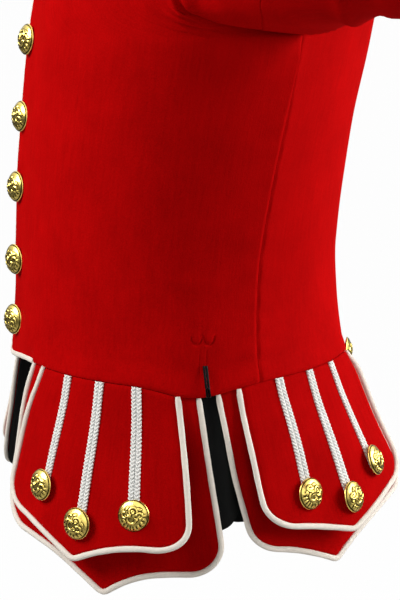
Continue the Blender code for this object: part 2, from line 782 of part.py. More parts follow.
def make_collar(wool):
    """A stand collar on the neckline, open at the centre front."""
    heights = [h for h in PANEL_HEIGHTS if h >= NECK_FRONT_HEIGHT]
    base = [torso(body_angle(max(0.6, neck_x(h, NECK_FRONT_HEIGHT)), h), h) for h in heights]
    back = [h for h in reversed(PANEL_HEIGHTS) if NECK_BACK_HEIGHT < h < RIDGE_HEIGHT]
    base += [torso(pi - body_angle(neck_x(h, NECK_BACK_HEIGHT), h), h) for h in back]
    base += [torso(pi, back[-1] - 2)]
    right = [mirrored(point, -1) for point in base[-2::-1]]
    base = np.array(base + right)
    middle = np.array([0.0, base[:, 1].mean(), 0.0])
    outward = base - middle
    outward[:, 2] = 0
    outward /= np.linalg.norm(outward, axis=1, keepdims=True)
    foot = base - outward * COLLAR_GAP
    foot[:, 2] += COLLAR_GAP
    rows = []
    for t in (0, 0.35, 0.7, 1):
        rows.append(foot - outward * COLLAR_LEAN * t + np.array([0, 0, COLLAR_HEIGHT * t]))
    cloth("collar", rows, [outward] * len(rows), COLLAR_CLOTH, wool)


def make_flaps(wool, black, white):
    for side, name in ((1, "left"), (-1, "right")):
        for part in ("front", "rear"):
            under, over = UNDER_FLAPS[part], OVER_FLAPS[part]
            grid, normals = flap_grid(under, side, FLAP_START, lambda depth: 0.0)
            cloth(f"{part}_under_flap_{name}", grid, normals, FLAP_CLOTH, wool)
            edge_tube(f"{part}_under_piping_{name}", outline(grid), outline(normals), side, white)
            grid, normals = flap_grid(over, side, OVER_START, over_lift)
            cloth(f"{part}_over_flap_{name}", grid, normals, FLAP_CLOTH, wool)
            edge_tube(f"{part}_over_piping_{name}", outline(grid), outline(normals), side, white)
            grid, normals = lining_grid(under, part, side)
            cloth(f"{part}_flap_lining_{name}", grid, normals, LINING_CLOTH, black)


def make_braids(white):
    for side, name in ((1, "left"), (-1, "right")):
        for part, braids in BRAIDS.items():
            grid, normals = seam_strip_grid(braids, side)
            strip = cloth(f"{part}_braid_{name}", grid, normals, FLAP_CLOTH + BRAID_GAP, white)
            bars = [tube(f"bar_{part}_{name}_{i}", braid_rings(part, braid, side), white)
                    for i, braid in enumerate(braids, 1)]
            union(strip, bars)


def make_buttons(brass):
    for number, (height, off_centre, turn) in enumerate(FRONT_BUTTONS, 1):
        tilt = radians(turn)
        angle = body_angle(off_centre, height)
        x, y, z = torso_normal(angle, height)
        place = torso(angle, height) + np.array([x, y, z]) * BUTTON_BACK_RADIUS * sin(tilt) * 0.9
        turned = np.array([x * cos(tilt) - y * sin(tilt), x * sin(tilt) + y * cos(tilt), z])
        button(f"button_front_{number}", place, turned, brass)
    for side, name in ((1, "left"), (-1, "right")):
        angle = float(np.interp(BACK_BUTTON_SEAM_PLACE, SEAM_PLACES, SEAM_ANGLES))
        place = mirrored(torso(angle, BACK_BUTTON_HEIGHT), side)
        button(f"button_back_{name}", place, mirrored(torso_normal(angle, BACK_BUTTON_HEIGHT), side), brass)
        for part, braids in BRAIDS.items():
            for number, braid in enumerate(braids, 1):
                place, normal = on_over_flap(part, braid.low, braid.depth)
                place = mirrored(place + normal * (BRAID_GAP + BRAID_THICKNESS), side)
                button(f"button_{part}_flap_{name}_{number}", place, mirrored(normal, side), brass)


def make_edge_piping(white):
    """Piping down the closing edge of the left front, and along both bottom edges to the flaps."""
    grid, normals = panel_grid("front", 1)
    top = PANEL_HEIGHTS.index(NECK_FRONT_HEIGHT)
    edge, edge_normals = list(grid[top::-1, 0]), list(normals[top::-1, 0])
    last_place = UNDER_FLAPS["front"].front_top - PIPING_RADIUS - 2 * SEAM
    first_place = {1: 2.0, -1: OVERLAP + 2 * PIPING_RADIUS + 4 * SEAM}
    for side, name in ((1, "left"), (-1, "right")):
        places = np.linspace(first_place[side], last_place, 9)
        angles = [float(np.interp(place, SEAM_PLACES, SEAM_ANGLES)) for place in places]
        bottom = [torso_base(angle, 0) for angle in angles]
        bottom_normals = [torso_normal(angle, 1) for angle in angles]
        if side < 0:
            steps = [-UNDERLAP_STEP * (1 - ease((point[0] - OVERLAP - 5) / UNDERLAP_EASE)) for point in bottom]
            bottom = [point + step * normal for point, step, normal in zip(bottom, steps, bottom_normals)]
        bottom, bottom_normals = list(mirrored(bottom, side)), list(mirrored(bottom_normals, side))
        run = edge + bottom if side > 0 else bottom
        run_normals = edge_normals + bottom_normals if side > 0 else bottom_normals
        edge_tube(f"edge_piping_{name}", run, run_normals, side, white)


def main():
    for old in list(bpy.data.objects):
        bpy.data.objects.remove(old)
    wool = material("scarlet_wool", (0.62, 0.008, 0.012), 0.9)
    black = material("black_lining", (0.012, 0.012, 0.014), 0.8)
    white = material("white_braid", (0.82, 0.8, 0.76), 0.8)
    brass = material("gilt_brass", (0.83, 0.6, 0.2), 0.28, 1.0)
    wire = material("black_wire", (0.02, 0.02, 0.02), 0.5, 0.6)
    make_body(wool)
    make_sleeves(wool)
    make_collar(wool)
    make_flaps(wool, black, white)
    make_braids(white)
    make_buttons(brass)
    make_edge_piping(white)
    for side, name in ((1, "left"), (-1, "right")):
        belt_hook(f"belt_hook_{name}", side, wire)


main()
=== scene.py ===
"""A worn Highland military doublet in scarlet wool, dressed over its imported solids.

Sizes are millimetres, made metres as a mesh is finished. Heights count up from the waist seam, and
angles run round the body from the centre front (0) past the wearer's left side (90) to the centre
back (180). The front faces -Y, the wearer's left is +X and up is +Z.
"""

from collections import namedtuple
from math import cos, pi, radians, sin

import bpy
import numpy as np
from mathutils import Matrix, Vector


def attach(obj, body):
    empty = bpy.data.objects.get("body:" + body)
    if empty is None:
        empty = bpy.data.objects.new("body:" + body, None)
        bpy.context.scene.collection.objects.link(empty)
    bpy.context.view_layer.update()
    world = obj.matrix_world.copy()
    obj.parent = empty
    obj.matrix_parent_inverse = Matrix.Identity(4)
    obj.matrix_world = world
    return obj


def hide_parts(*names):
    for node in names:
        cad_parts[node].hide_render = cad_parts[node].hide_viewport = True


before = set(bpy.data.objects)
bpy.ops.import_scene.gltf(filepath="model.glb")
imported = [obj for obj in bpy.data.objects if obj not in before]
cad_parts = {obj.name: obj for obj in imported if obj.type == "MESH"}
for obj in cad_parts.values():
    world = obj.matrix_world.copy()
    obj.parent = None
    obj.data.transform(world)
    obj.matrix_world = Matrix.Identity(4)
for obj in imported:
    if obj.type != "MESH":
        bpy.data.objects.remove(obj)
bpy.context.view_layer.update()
MM = 0.001

# ------------------------------------------------------------------ camera
# A long lens at the wearer's left side, a little above the waist, looking down on the flaps.

VIEW_AZIMUTH, VIEW_ELEVATION = radians(81.7), radians(11.1)
VIEW_DISTANCE, VIEW_LENS = 1.4, 105
VIEW_CENTRE = Vector((0.0, 0.0004, -0.4197))

view_back = Vector((sin(VIEW_AZIMUTH) * cos(VIEW_ELEVATION),
                    -cos(VIEW_AZIMUTH) * cos(VIEW_ELEVATION), sin(VIEW_ELEVATION)))
bpy.ops.object.camera_add(location=VIEW_CENTRE + view_back * VIEW_DISTANCE)
camera = bpy.context.active_object
camera.rotation_mode = "QUATERNION"
camera.rotation_quaternion = view_back.to_track_quat("Z", "Y")
camera.data.lens = VIEW_LENS
bpy.context.scene.camera = camera
bpy.context.scene.view_settings.view_transform = "Standard"

# ------------------------------------------------------------------ floor and studio light
# A pale floor at the wearer's feet and a white surround. One large soft light stands ahead of the
# wearer and one behind, so the flaps throw their shadows towards the side vent. Two weak ones fill.

FLOOR_HEIGHT, FLOOR_SIZE = -1.45, 160.0
FLOOR_GLOW = 0.93  # share of the floor's white that doesn't depend on the lights
WHITE_SEEN = 1.05  # strength of the floor and of the surround where they are looked at


def new_material(name, constants):
    """A material, its tree and its Principled shader, with some of the shader's sockets set."""
    made = bpy.data.materials.new(name)
    made.use_nodes = True
    principled = made.node_tree.nodes["Principled BSDF"]
    for label, value in constants.items():
        principled.inputs[label].default_value = value
    return made, made.node_tree, principled


def add_node(tree, kind, links, **settings):
    """A shader node with its settings, and its inputs linked to nodes or sockets or given values."""
    node = tree.nodes.new("ShaderNode" + kind)
    for key, value in settings.items():
        setattr(node, key, value)
    for key, source in links.items():
        if isinstance(source, bpy.types.Node):
            source = source.outputs[0]
        if isinstance(source, bpy.types.NodeSocket):
            tree.links.new(source, node.inputs[key])
        else:
            node.inputs[key].default_value = source
    return node


def math_node(tree, operation, *values):
    return add_node(tree, "Math", dict(enumerate(values)), operation=operation)


bpy.ops.mesh.primitive_plane_add(size=FLOOR_SIZE, location=(0, 0, FLOOR_HEIGHT))
floor = bpy.context.active_object
floor.name = "floor"
floor_paint, tree, floor_matte = new_material(
    "pale_floor", {"Base Color": (0.5, 0.5, 0.5, 1), "Roughness": 0.9})
floor_white = add_node(tree, "Emission", {"Strength": WHITE_SEEN})
floor_ray = add_node(tree, "LightPath", {})
floor_share = math_node(tree, "MULTIPLY", floor_ray.outputs["Is Camera Ray"], FLOOR_GLOW)
floor_mix = add_node(tree, "MixShader", {0: floor_share, 1: floor_matte, 2: floor_white})
tree.links.new(floor_mix.outputs[0], tree.nodes["Material Output"].inputs["Surface"])
floor.data.materials.append(floor_paint)

# The surround is white where it's seen and dim on the cloth. Polished metal sees it bright above
# and dark below, as in a studio with black screens round the stand.
SURROUND_ON_CLOTH = 0.084
SURROUND_IN_METAL = {"From Min": -0.1, "From Max": 0.7, "To Min": 0.015, "To Max": 1.3}

surround = bpy.data.worlds.new("white_surround")
bpy.context.scene.world = surround
surround.use_nodes = True
tree = surround.node_tree
ray = add_node(tree, "LightPath", {}).outputs
way = add_node(tree, "TexCoord", {})
upward = add_node(tree, "SeparateXYZ", {0: way.outputs["Generated"]})
in_metal = add_node(tree, "MapRange", {"Value": upward.outputs["Z"], **SURROUND_IN_METAL})
unseen = add_node(tree, "Mix", {"Factor": ray["Is Glossy Ray"], 2: SURROUND_ON_CLOTH, 3: in_metal})
strength = add_node(tree, "Mix", {"Factor": ray["Is Camera Ray"], 2: unseen, 3: WHITE_SEEN})
tree.links.new(strength.outputs[0], tree.nodes["Background"].inputs["Strength"])
tree.nodes["Background"].inputs["Color"].default_value = (1, 1, 1, 1)

Softbox = namedtuple("Softbox", "name place size watts")
SOFTBOXES = (
    Softbox("softbox_front", (0.36, -1.66, 0.86), 1.2, 41),
    Softbox("softbox_side", (2.046, -0.179, 0.037), 2.0, 7.5),
    Softbox("softbox_back", (0.544, 1.897, 0.318), 1.4, 39),
    Softbox("softbox_rear", (-0.265, 1.885, 0.488), 1.2, 12),
)
SOFTBOXES_FACE = Vector((0.0, 0.0, -0.4))
for box in SOFTBOXES:
    bpy.ops.object.light_add(type="AREA", location=box.place)
    lamp = bpy.context.active_object
    lamp.name = box.name
    lamp.data.size, lamp.data.energy = box.size, box.watts
    lamp.rotation_mode = "QUATERNION"
    lamp.rotation_quaternion = (Vector(box.place) - SOFTBOXES_FACE).to_track_quat("Z", "Y")

# ------------------------------------------------------------------ scarlet wool
# Heavy milled wool with a short nap: the weave hardly shows, only fibres, faint warp streaks and
# the slightly uneven dye. A shared group gives every cloth and trim its colour, sheen and surface.

WOOL_STREAKS = (520.0, 42.0, 1.0)  # streaks to a metre, across and along the warp
# How sharply and how much the painted sheen brightens the wool's colour where it's seen at a glance.
PAINTED_SHEEN_SHARPNESS, PAINTED_SHEEN_LIFT = 1.5, 0.3


def new_group(name, inputs):
    """A shader node group that gives a finish. Its inputs are colours (None) or hold a value."""
    group = bpy.data.node_groups.new(name, "ShaderNodeTree")
    for label, value in inputs.items():
        kind = "NodeSocketColor" if value is None else "NodeSocketFloat"
        socket = group.interface.new_socket(label, in_out="INPUT", socket_type=kind)
        if value is not None:
            socket.default_value = value
    for label, kind in (("Colour", "Color"), ("Roughness", "Float"), ("Normal", "Vector")):
        group.interface.new_socket(label, in_out="OUTPUT", socket_type="NodeSocket" + kind)
    return group, group.nodes.new("NodeGroupInput").outputs, group.nodes.new("NodeGroupOutput").inputs


def noise_node(tree, place, scale, detail, roughness=0.5):
    grain = {"Scale": scale, "Detail": detail, "Roughness": roughness}
    return add_node(tree, "TexNoise", {"Vector": place, **grain})


def range_node(tree, value, low=0.0, high=1.0, to_low=0.0, to_high=1.0, way="LINEAR"):
    limits = {"From Min": low, "From Max": high, "To Min": to_low, "To Max": to_high}
    return add_node(tree, "MapRange", {"Value": value, **limits}, interpolation_type=way)


def mix_colour(tree, share, low, high):
    """The socket of a colour between two others."""
    return add_node(tree, "Mix", {0: share, 6: low, 7: high}, data_type="RGBA").outputs[2]


def end_group(group, result, colour, rough, height, bump_depth, relief):
    """Link what a group gives: a colour, a roughness, and a normal from a height."""
    bump = add_node(group, "Bump", {"Height": height, "Distance": bump_depth, "Strength": relief})
    for label, source in (("Colour", colour), ("Roughness", rough.outputs[0]), ("Normal", bump.outputs[0])):
        group.links.new(source, result[label])
    return group


def fibre_group():
    """Uneven dye, fibres and streaks along the warp."""
    group, given, result = new_group("wool_fibres", {
        "Colour": None, "Deep colour": None, "Fibre size": 0.0012, "Streak": 0.5, "Fuzz": 0.3})
    place = add_node(group, "TexCoord", {}).outputs
    per_fibre = math_node(group, "DIVIDE", 1.0, given["Fibre size"])
    fibres = noise_node(group, place["Object"], scale=per_fibre, detail=3.0, roughness=0.65)
    cloudy = noise_node(group, place["Object"], scale=28.0, detail=4.0, roughness=0.6)
    along = add_node(group, "Mapping", {"Vector": place["UV"], "Scale": WOOL_STREAKS})
    streaks = add_node(group, "TexNoise", {"Vector": along, "Scale": 1.0, "Detail": 2.0},
                       noise_dimensions="2D")
    streak_part = math_node(group, "MULTIPLY", streaks, given["Streak"])
    dye = math_node(group, "ADD", cloudy, streak_part)
    spread = range_node(group, math_node(group, "MULTIPLY_ADD", fibres, 0.9, dye), 0.75, 1.65)
    colour = mix_colour(group, spread, given["Deep colour"], given["Colour"])
    rough = range_node(group, fibres, 0.2, 0.8, 0.95, 0.78)
    height = math_node(group, "MULTIPLY_ADD", streak_part, 0.5, fibres)
    return end_group(group, result, colour, rough, height, 0.0006, given["Fuzz"])


def group_material(name, group, values, constants):
    """A material whose colour, roughness and normal come from a group's node."""
    made, tree, principled = new_material(name, constants)
    finish = add_node(tree, "Group", values, node_tree=group)
    for label, given in (("Base Color", "Colour"), ("Roughness", "Roughness"), ("Normal", "Normal")):
        tree.links.new(finish.outputs[given], principled.inputs[label])
    return made, tree, principled, finish


scarlet_wool, tree, shader, finish = group_material(
    "scarlet_wool", fibre_group(),
    {"Colour": (0.5, 0.001, 0.0013, 1), "Deep colour": (0.33, 0.0003, 0.0005, 1)},
    {"Sheen Weight": 0.1, "Sheen Roughness": 0.5, "Sheen Tint": (1.0, 0.01, 0.01, 1),
     "Specular IOR Level": 0.02})
# Painted sheen: its colour is made brighter where it's seen at a glance, in place of the light its nap
# catches there.
glance = add_node(tree, "LayerWeight", {"Blend": 0.5})
painted_sheen = math_node(tree, "POWER", glance.outputs["Facing"], PAINTED_SHEEN_SHARPNESS)
painted_sheen = math_node(tree, "MULTIPLY_ADD", painted_sheen, PAINTED_SHEEN_LIFT, 1.0)
sheen_painted_colour = add_node(tree, "VectorMath", {0: finish.outputs["Colour"], "Scale": painted_sheen}, operation="SCALE")
tree.links.new(sheen_painted_colour.outputs[0], shader.inputs["Base Color"])

# ------------------------------------------------------------------ bodice: fronts and backs
# Two fronts and two backs in the wool, sewn at the side-back seams and the shoulders. The left
# front closes over the right one. Each is a sheet laid on the body's form, then given its wall.

HANDS = ((1, "left"), (-1, "right"))
SEAM = 0.3  # gap between two pieces or two layers
BODY_CLOTH = 2.0
SHOULDER_HEIGHT = 447.0  # origin above the waist seam
RIDGE_HEIGHT, ARMPIT_HEIGHT = 475.0, 243.0
WAIST_CENTRE_Y = -31.0
SHOULDER_DROP, SHOULDER_X, SHOULDER_CURVE = 45.0, 190.0, 1.5
CLOSING_RIDGE, CLOSING_RIDGE_WIDTH = 2.5, 22.0
OVERLAP, UNDERLAP, UNDERLAP_CLEAR, UNDERLAP_EASE = 13.0, 20.0, 5, 28.0
UNDERLAP_STEP = BODY_CLOTH + 3 * SEAM
NECK_HALF_WIDTH, NECK_FRONT_HEIGHT, NECK_BACK_HEIGHT = 66.0, 400.0, 466.0

# The body at each height: its half width, and its depth ahead of and behind its centre.
Level = namedtuple("Level", "height half_width front back")
LEVELS = [Level(*row) for row in (
    (0, 165, 116.5, 145), (40, 158, 115.5, 136), (80, 157, 117.5, 132.5), (130, 161, 118, 133.5),
    (180, 167, 116.5, 137.5), (230, 174, 114.5, 145), (280, 179, 112, 151.5), (330, 184, 112, 158),
    (380, 189, 112, 158), (430, 195, 112, 158), (455, 205, 112, 158), (475, 214, 112, 158),
)]
# From these heights up its depth closes in an arch, to nothing at the shoulder ridge.
Arch = namedtuple("Arch", "start power")
ARCHES = {"front": Arch(250, 1.7), "back": Arch(330, 2.2)}
Dip = namedtuple("Dip", "angle depth width")
SEAM_DIPS = (Dip(0, 7, 14), Dip(91.7, 8.8, 13.6), Dip(180, 24, 14))  # where the waist seam sinks
SEAM_DIP_FADE = 45.0
# Where a front and a back end, in degrees: at the side-back seam, and above it at the armhole.
Limit = namedtuple("Limit", "height front back")
SIDE_LIMITS = [Limit(*row) for row in (
    (0, 110.7, 110.7), (80, 110.8, 110.8), (130, 112.3, 112.3), (180, 114.3, 114.3), (243, 117, 117),
    (246, 107, 118.3), (250, 96, 119.5), (257, 85, 121), (275, 75, 122), (310, 67, 122),
    (350, 63, 122), (400, 60, 122), (442, 60, 120), (475, 62, 118),
)]
ARMHOLE_TOP = 400  # the front's armhole edge is upright from here
ABOVE_BODY = 900.0  # a height that nothing reaches
Fold = namedtuple("Fold", "angle height slant length width depth")
FOLDS = (Fold(60, 322, 8, 70, 26, -3.4), Fold(73, 306, 2, 66, 24, 3.0), Fold(128, 268, -18, 80, 27, -2.8))
FOLD_DEGREE, FOLD_MIDDLE, FOLD_SPREAD = 2.6, 0.3, 0.55


def smooth_value(table, name, at):
    """One column of a table at every place in an array, on a smooth curve without overshoot."""
    places = np.array([row[0] for row in table], float)
    values = np.array([getattr(row, name) for row in table], float)
    at = np.clip(at, places[0], places[-1])
    slopes = np.gradient(values, places)
    i = np.clip(np.searchsorted(places, at) - 1, 0, len(places) - 2)
    step, rise = places[i + 1] - places[i], values[i + 1] - values[i]
    t = (at - places[i]) / step
    ends = []
    for end in (i, i + 1):
        slope = slopes[end]
        capped = np.sign(rise) * np.minimum(np.abs(slope), 3 * np.abs(rise) / step)
        ends.append(np.where((rise == 0) | (slope * rise < 0), 0.0, capped))
    return (values[i] * (2 * t**3 - 3 * t**2 + 1) + values[i + 1] * (3 * t**2 - 2 * t**3)
            + step * ends[0] * (t**3 - 2 * t**2 + t) + step * ends[1] * (t**3 - t**2))


def ease(value):
    """From 0 to 1, starting and ending softly."""
    value = np.clip(value, 0.0, 1.0)
    return value * value * (3 - 2 * value)


def bell(off, width):
    """1 at the middle, dying away softly to both sides."""
    return np.exp(-((off / width) ** 2))


def unit(vectors):
    return vectors / np.maximum(np.linalg.norm(vectors, axis=-1, keepdims=True), 1e-9)


def run_of(points):
    """Distance along a line to each of its points."""
    return np.concatenate(([0], np.cumsum(np.linalg.norm(np.diff(points, axis=0), axis=1))))


def arch(half, height):
    start, power = ARCHES[half]
    t = np.clip((height - start) / (RIDGE_HEIGHT - start), 0.0, 1.0)
    return (1 - t**power) ** (1 / power)


def half_width(height):
    return smooth_value(LEVELS, "half_width", height)


def torso_base(angle, height):
    """The body's form before folds, at arrays of angles in radians and heights."""
    angle, height = np.broadcast_arrays(np.asarray(angle, float), np.asarray(height, float))
    front = np.cos(angle) > 0
    front_depth = smooth_value(LEVELS, "front", height) * arch("front", height)
    back_depth = smooth_value(LEVELS, "back", height) * arch("back", height)
    depth = np.maximum(np.where(front, front_depth, back_depth), SEAM / 2)
    x = half_width(height) * np.sin(angle)
    y = WAIST_CENTRE_Y * (1 - height / RIDGE_HEIGHT) - depth * np.cos(angle)
    ridge = CLOSING_RIDGE * arch("front", height) * bell(x, CLOSING_RIDGE_WIDTH)
    y = y - np.where(front, ridge, 0.0)
    drop = SHOULDER_DROP * ease((height - ARMPIT_HEIGHT) / (RIDGE_HEIGHT - ARMPIT_HEIGHT))
    drop = drop * (np.abs(x) / SHOULDER_X) ** SHOULDER_CURVE
    dip = sum(d.depth * bell(np.degrees(angle) - d.angle, d.width) for d in SEAM_DIPS)
    dip = dip * (1 - ease(height / SEAM_DIP_FADE))
    return np.stack((x, y, height - drop - dip - SHOULDER_HEIGHT), axis=-1)


TURN_STEP, HEIGHT_STEP = 0.01, 1


def torso_normal(angle, height):
    """Outward direction, from places one step off on either side, above and below."""
    low = np.minimum(height, RIDGE_HEIGHT - 2 * HEIGHT_STEP)
    round_body = torso_base(angle + TURN_STEP, low) - torso_base(angle - TURN_STEP, low)
    up_body = torso_base(angle, low + HEIGHT_STEP) - torso_base(angle, low - HEIGHT_STEP)
    return unit(np.cross(round_body, up_body))


def fold_height(angle, height):
    lift = 0.0
    degrees = np.degrees(angle)
    for fold in FOLDS:
        along = (fold.height - height) / fold.length
        across = (degrees - fold.angle - fold.slant * along) * FOLD_DEGREE
        lift = lift + fold.depth * bell(across, fold.width) * bell(along - FOLD_MIDDLE, FOLD_SPREAD)
    return lift


def torso(angle, height, lift=0.0):
    """The worn body, lifted along its normal by its folds and by what a piece adds."""
    lift = fold_height(angle, height) + lift
    return torso_base(angle, height) + lift[..., None] * torso_normal(angle, height)


def body_angle(x, height):
    return np.arcsin(np.clip(x / half_width(height), -1, 1))


def neck_x(height, bottom):
    t = np.clip((RIDGE_HEIGHT - height) / (RIDGE_HEIGHT - bottom), 0, 1)
    return np.where(height <= bottom, 0.0, NECK_HALF_WIDTH * np.sqrt(1 - t * t))


def side_angle(panel, height):
    gap = SEAM / 2 / half_width(height)
    angle = np.radians(smooth_value(SIDE_LIMITS, panel, height))
    return angle - gap if panel == "front" else angle + gap


SEAM_ANGLES = np.radians(np.linspace(0, 180, 361))
SEAM_PLACES = run_of(torso_base(SEAM_ANGLES, 0.0)[:, :2])

# The bodice's lower edge stands out over the tops of the flaps, from the first to the last of them.
LIP_FROM, LIP_UNTIL, LIP_FADE = 70.0, 409.0, 6.0
LIP_DROP, LIP_LIFT, LIP_HEIGHT = 2.1, 2.3, 16.0
LIP_ROLL, LIP_ROLL_HEIGHT = 0.7, 1.2


def lip(angle):
    place = np.interp(np.abs(angle), SEAM_ANGLES, SEAM_PLACES)
    return ease((place - LIP_FROM) / LIP_FADE) * (1 - ease((place - LIP_UNTIL) / LIP_FADE))


def gap_to_edge(panel, angle, height):
    """Distance from a place on a front or back to its side edge or armhole."""
    across = np.abs(angle - side_angle(panel, height)) * half_width(height)
    if panel == "back":
        return across
    rows = [row for row in SIDE_LIMITS if ARMPIT_HEIGHT <= row.height <= ARMHOLE_TOP][::-1]
    angles, heights = [row.front for row in rows], [row.height for row in rows]
    above = np.interp(np.degrees(angle), angles, heights, left=ABOVE_BODY)
    below = np.maximum(above - height, 0.0)
    return across * below / np.maximum(np.hypot(across, below), 1e-6)


# The worn wool is never quite even, and the seams pull it in.
SEAM_ROLL, SEAM_ROLL_WIDTH, ARMHOLE_ROLL = 0.9, 1.7, 0.1
# The side-back seam turns a soft corner, most under the arm: its lift, its reach, its share at the
# waist, the height where it is full, and where and over how much it ends.
CORNER, CORNER_REACH, CORNER_LEAST, CORNER_FULL, CORNER_END, CORNER_FADE = 3.4, 17.0, 0.35, 230, 225, 20
PUCKER, PUCKER_REACH, PUCKER_LENGTH, PUCKER_FADE = 0.34, 15.0, 19.0, 30
HOOK_ANGLE = 94.3  # degrees
# Where the hook's plate shows through: two eyes, across the hook and up, and two upright shanks.
PRESSED_EYES, PRESSED_EYE_RADIUS = ((-8.4, 34.0), (3.2, 33.5)), 5.0
PRESSED_RIM, PRESSED_RIM_WIDTH, PRESSED_MIDDLE, PRESSED_MIDDLE_FADE = 0.95, 0.8, 0.4, 2.5
PRESSED_SHANKS, PRESSED_SHANK, PRESSED_SHANK_WIDTH = (-5.2, 1.2), 0.65, 0.7
SHANKS_FROM, SHANKS_UNTIL, SHANKS_FADE = 9, 28, 4

# Creases: where each starts and ends, its half width and its lift.
Crease = namedtuple("Crease", "from_x from_y to_x to_y width lift")
BODY_CREASES = (  # degrees and heights
    Crease(72.2, 284, 78.6, 257, 4.4, 7.0),
    Crease(66.0, 278, 74.5, 252, 8.0, -1.6),
    Crease(84.0, 60, 66.0, 78, 7.0, -0.7),
    Crease(100.0, 64, 82.0, 72, 6.0, 0.6),
)
BODY_DEGREE = 3.07  # millimetres round the body
CREASE_AT_ENDS, CREASE_SWELL = 0.55, 0.45
STILL_BELOW, STILL_FADE = 4, 20  # the cloth lies still at the waist seam
WAVES_EDGE, CREASES_EDGE, PUCKER_EDGE = 20, 6, 3  # distances from an edge over which each sets in
PUCKER_DRIFT, PUCKER_DRIFT_LENGTH = 2.2, 33


def crease_lift(creases, x, y, x_scale):
    """Height of soft ridges and furrows over places x and y, with x counted in units of x_scale."""
    lift = 0.0
    for crease in creases:
        start = np.array([crease.from_x * x_scale, crease.from_y])
        run = np.array([crease.to_x * x_scale, crease.to_y]) - start
        held = np.clip(((x * x_scale - start[0]) * run[0] + (y - start[1]) * run[1]) / (run @ run), 0, 1)
        off = np.hypot(x * x_scale - start[0] - held * run[0], y - start[1] - held * run[1])
        swell = CREASE_AT_ENDS + CREASE_SWELL * np.sin(pi * held)
        lift = lift + crease.lift * bell(off, crease.width) * swell
    return lift


def cloth_life(angle, height):
    """Broad waves, smaller ones across them, and ripples above the waist."""
    a = np.degrees(angle)
    waves = 0.55 * np.sin(height / 43 + a / 31 + 0.6) * np.sin(a / 15 - height / 120)
    waves = waves + 0.28 * np.sin(height / 19 + 1.7 * np.sin(a / 13)) * np.sin(a / 9 + height / 47)
    waist = bell(height - 62, 30) * np.sin(height / 8.5 + a / 19) * 0.22
    return waves + waist * (0.4 + 0.6 * np.sin(a / 21) ** 2)


def above_seam(height):
    """From 0 just below the waist seam to 1 a little above it."""
    return ease((height + STILL_BELOW) / STILL_FADE)


def underlap_drop(angle, height):
    """How far the right front lies under the left one."""
    x = half_width(height) * np.sin(angle)
    return UNDERLAP_STEP * (1 - ease((x - OVERLAP - UNDERLAP_CLEAR) / UNDERLAP_EASE))


def pressed_plate(angle, height):
    """The rims of the hook's plate and shanks, seen through the cloth."""
    across = (np.degrees(angle) - HOOK_ANGLE) * BODY_DEGREE
    pressed = 0.0
    for x, h in PRESSED_EYES:
        off = np.hypot(across - x, height - h) - PRESSED_EYE_RADIUS
        pressed = pressed - PRESSED_RIM * bell(off, PRESSED_RIM_WIDTH)
        pressed = pressed + PRESSED_MIDDLE * ease(-off / PRESSED_MIDDLE_FADE)
    for x in PRESSED_SHANKS:
        shank = PRESSED_SHANK * bell(across - x, PRESSED_SHANK_WIDTH)
        upper, lower = ease((SHANKS_UNTIL - height) / SHANKS_FADE), ease((height - SHANKS_FROM) / SHANKS_FADE)
        pressed = pressed - shank * upper * lower
    return pressed


def edge_dense(t, share=0.8):
    """Places from 0 to 1 that crowd towards both ends."""
    return t - share * np.sin(2 * pi * t) / (2 * pi)


def add_sheet(name, columns, rows, place, flip=False, marks=None, fine=None):
    """A grid primitive laid on a surface. place gives the points of arrays u and v from 0 to 1.

    marks gives named values of the same arrays, for the material to read. fine bounds a window of
    u and v that is cut finer."""
    bpy.ops.object.select_all(action="DESELECT")
    bpy.ops.mesh.primitive_grid_add(x_subdivisions=columns, y_subdivisions=rows, size=1)
    sheet = bpy.context.active_object
    sheet.name = sheet.data.name = name
    mesh = sheet.data
    if fine:
        left, right, low, high = np.array(fine) - 0.5
        bpy.ops.object.mode_set(mode="EDIT")
        bpy.ops.mesh.select_all(action="DESELECT")
        bpy.ops.object.mode_set(mode="OBJECT")
        for face in mesh.polygons:
            face.select = bool(left < face.center.x < right and low < face.center.y < high)
        bpy.ops.object.mode_set(mode="EDIT")
        bpy.ops.mesh.select_mode(type="FACE")
        bpy.ops.mesh.subdivide(number_cuts=3)
        bpy.ops.object.mode_set(mode="OBJECT")
    flat = np.empty(len(mesh.vertices) * 3)
    mesh.vertices.foreach_get("co", flat)
    u, v = flat.reshape(-1, 3)[:, 0] + 0.5, flat.reshape(-1, 3)[:, 1] + 0.5
    mesh.vertices.foreach_set("co", (place(u, v) * MM).ravel())
    for label, values in (marks(u, v) if marks else {}).items():
        mark = mesh.attributes.new(label, "FLOAT", "POINT")
        mark.data.foreach_set("value", values.astype(np.float32))
    size, area = flat_size(columns, rows, place)
    loops = np.empty(len(mesh.loops) * 2, np.float32)
    pattern = mesh.uv_layers.active.data
    pattern.foreach_get("uv", loops)
    pattern.foreach_set("uv", (loops.reshape(-1, 2) * size).astype(np.float32).ravel())
    if flip:
        bpy.ops.object.mode_set(mode="EDIT")
        bpy.ops.mesh.select_all(action="SELECT")
        bpy.ops.mesh.flip_normals()
        bpy.ops.object.mode_set(mode="OBJECT")
    return sheet, size, area


def flat_size(columns, rows, place):
    """Width, length and area of the worn surface when it is laid flat, in metres."""
    steps = np.meshgrid(np.linspace(0, 1, columns + 1), np.linspace(0, 1, rows + 1))
    grid = place(steps[0].ravel(), steps[1].ravel()).reshape(rows + 1, columns + 1, 3)
    across, along = np.diff(grid, axis=1), np.diff(grid, axis=0)
    area = np.linalg.norm(np.cross(across[:-1], along[:, :-1]), axis=2).sum() * MM**2
    width = np.linalg.norm(across, axis=2).sum(axis=1).max() * MM
    length = np.linalg.norm(along, axis=2).sum(axis=0).max() * MM
    return (width, length), area


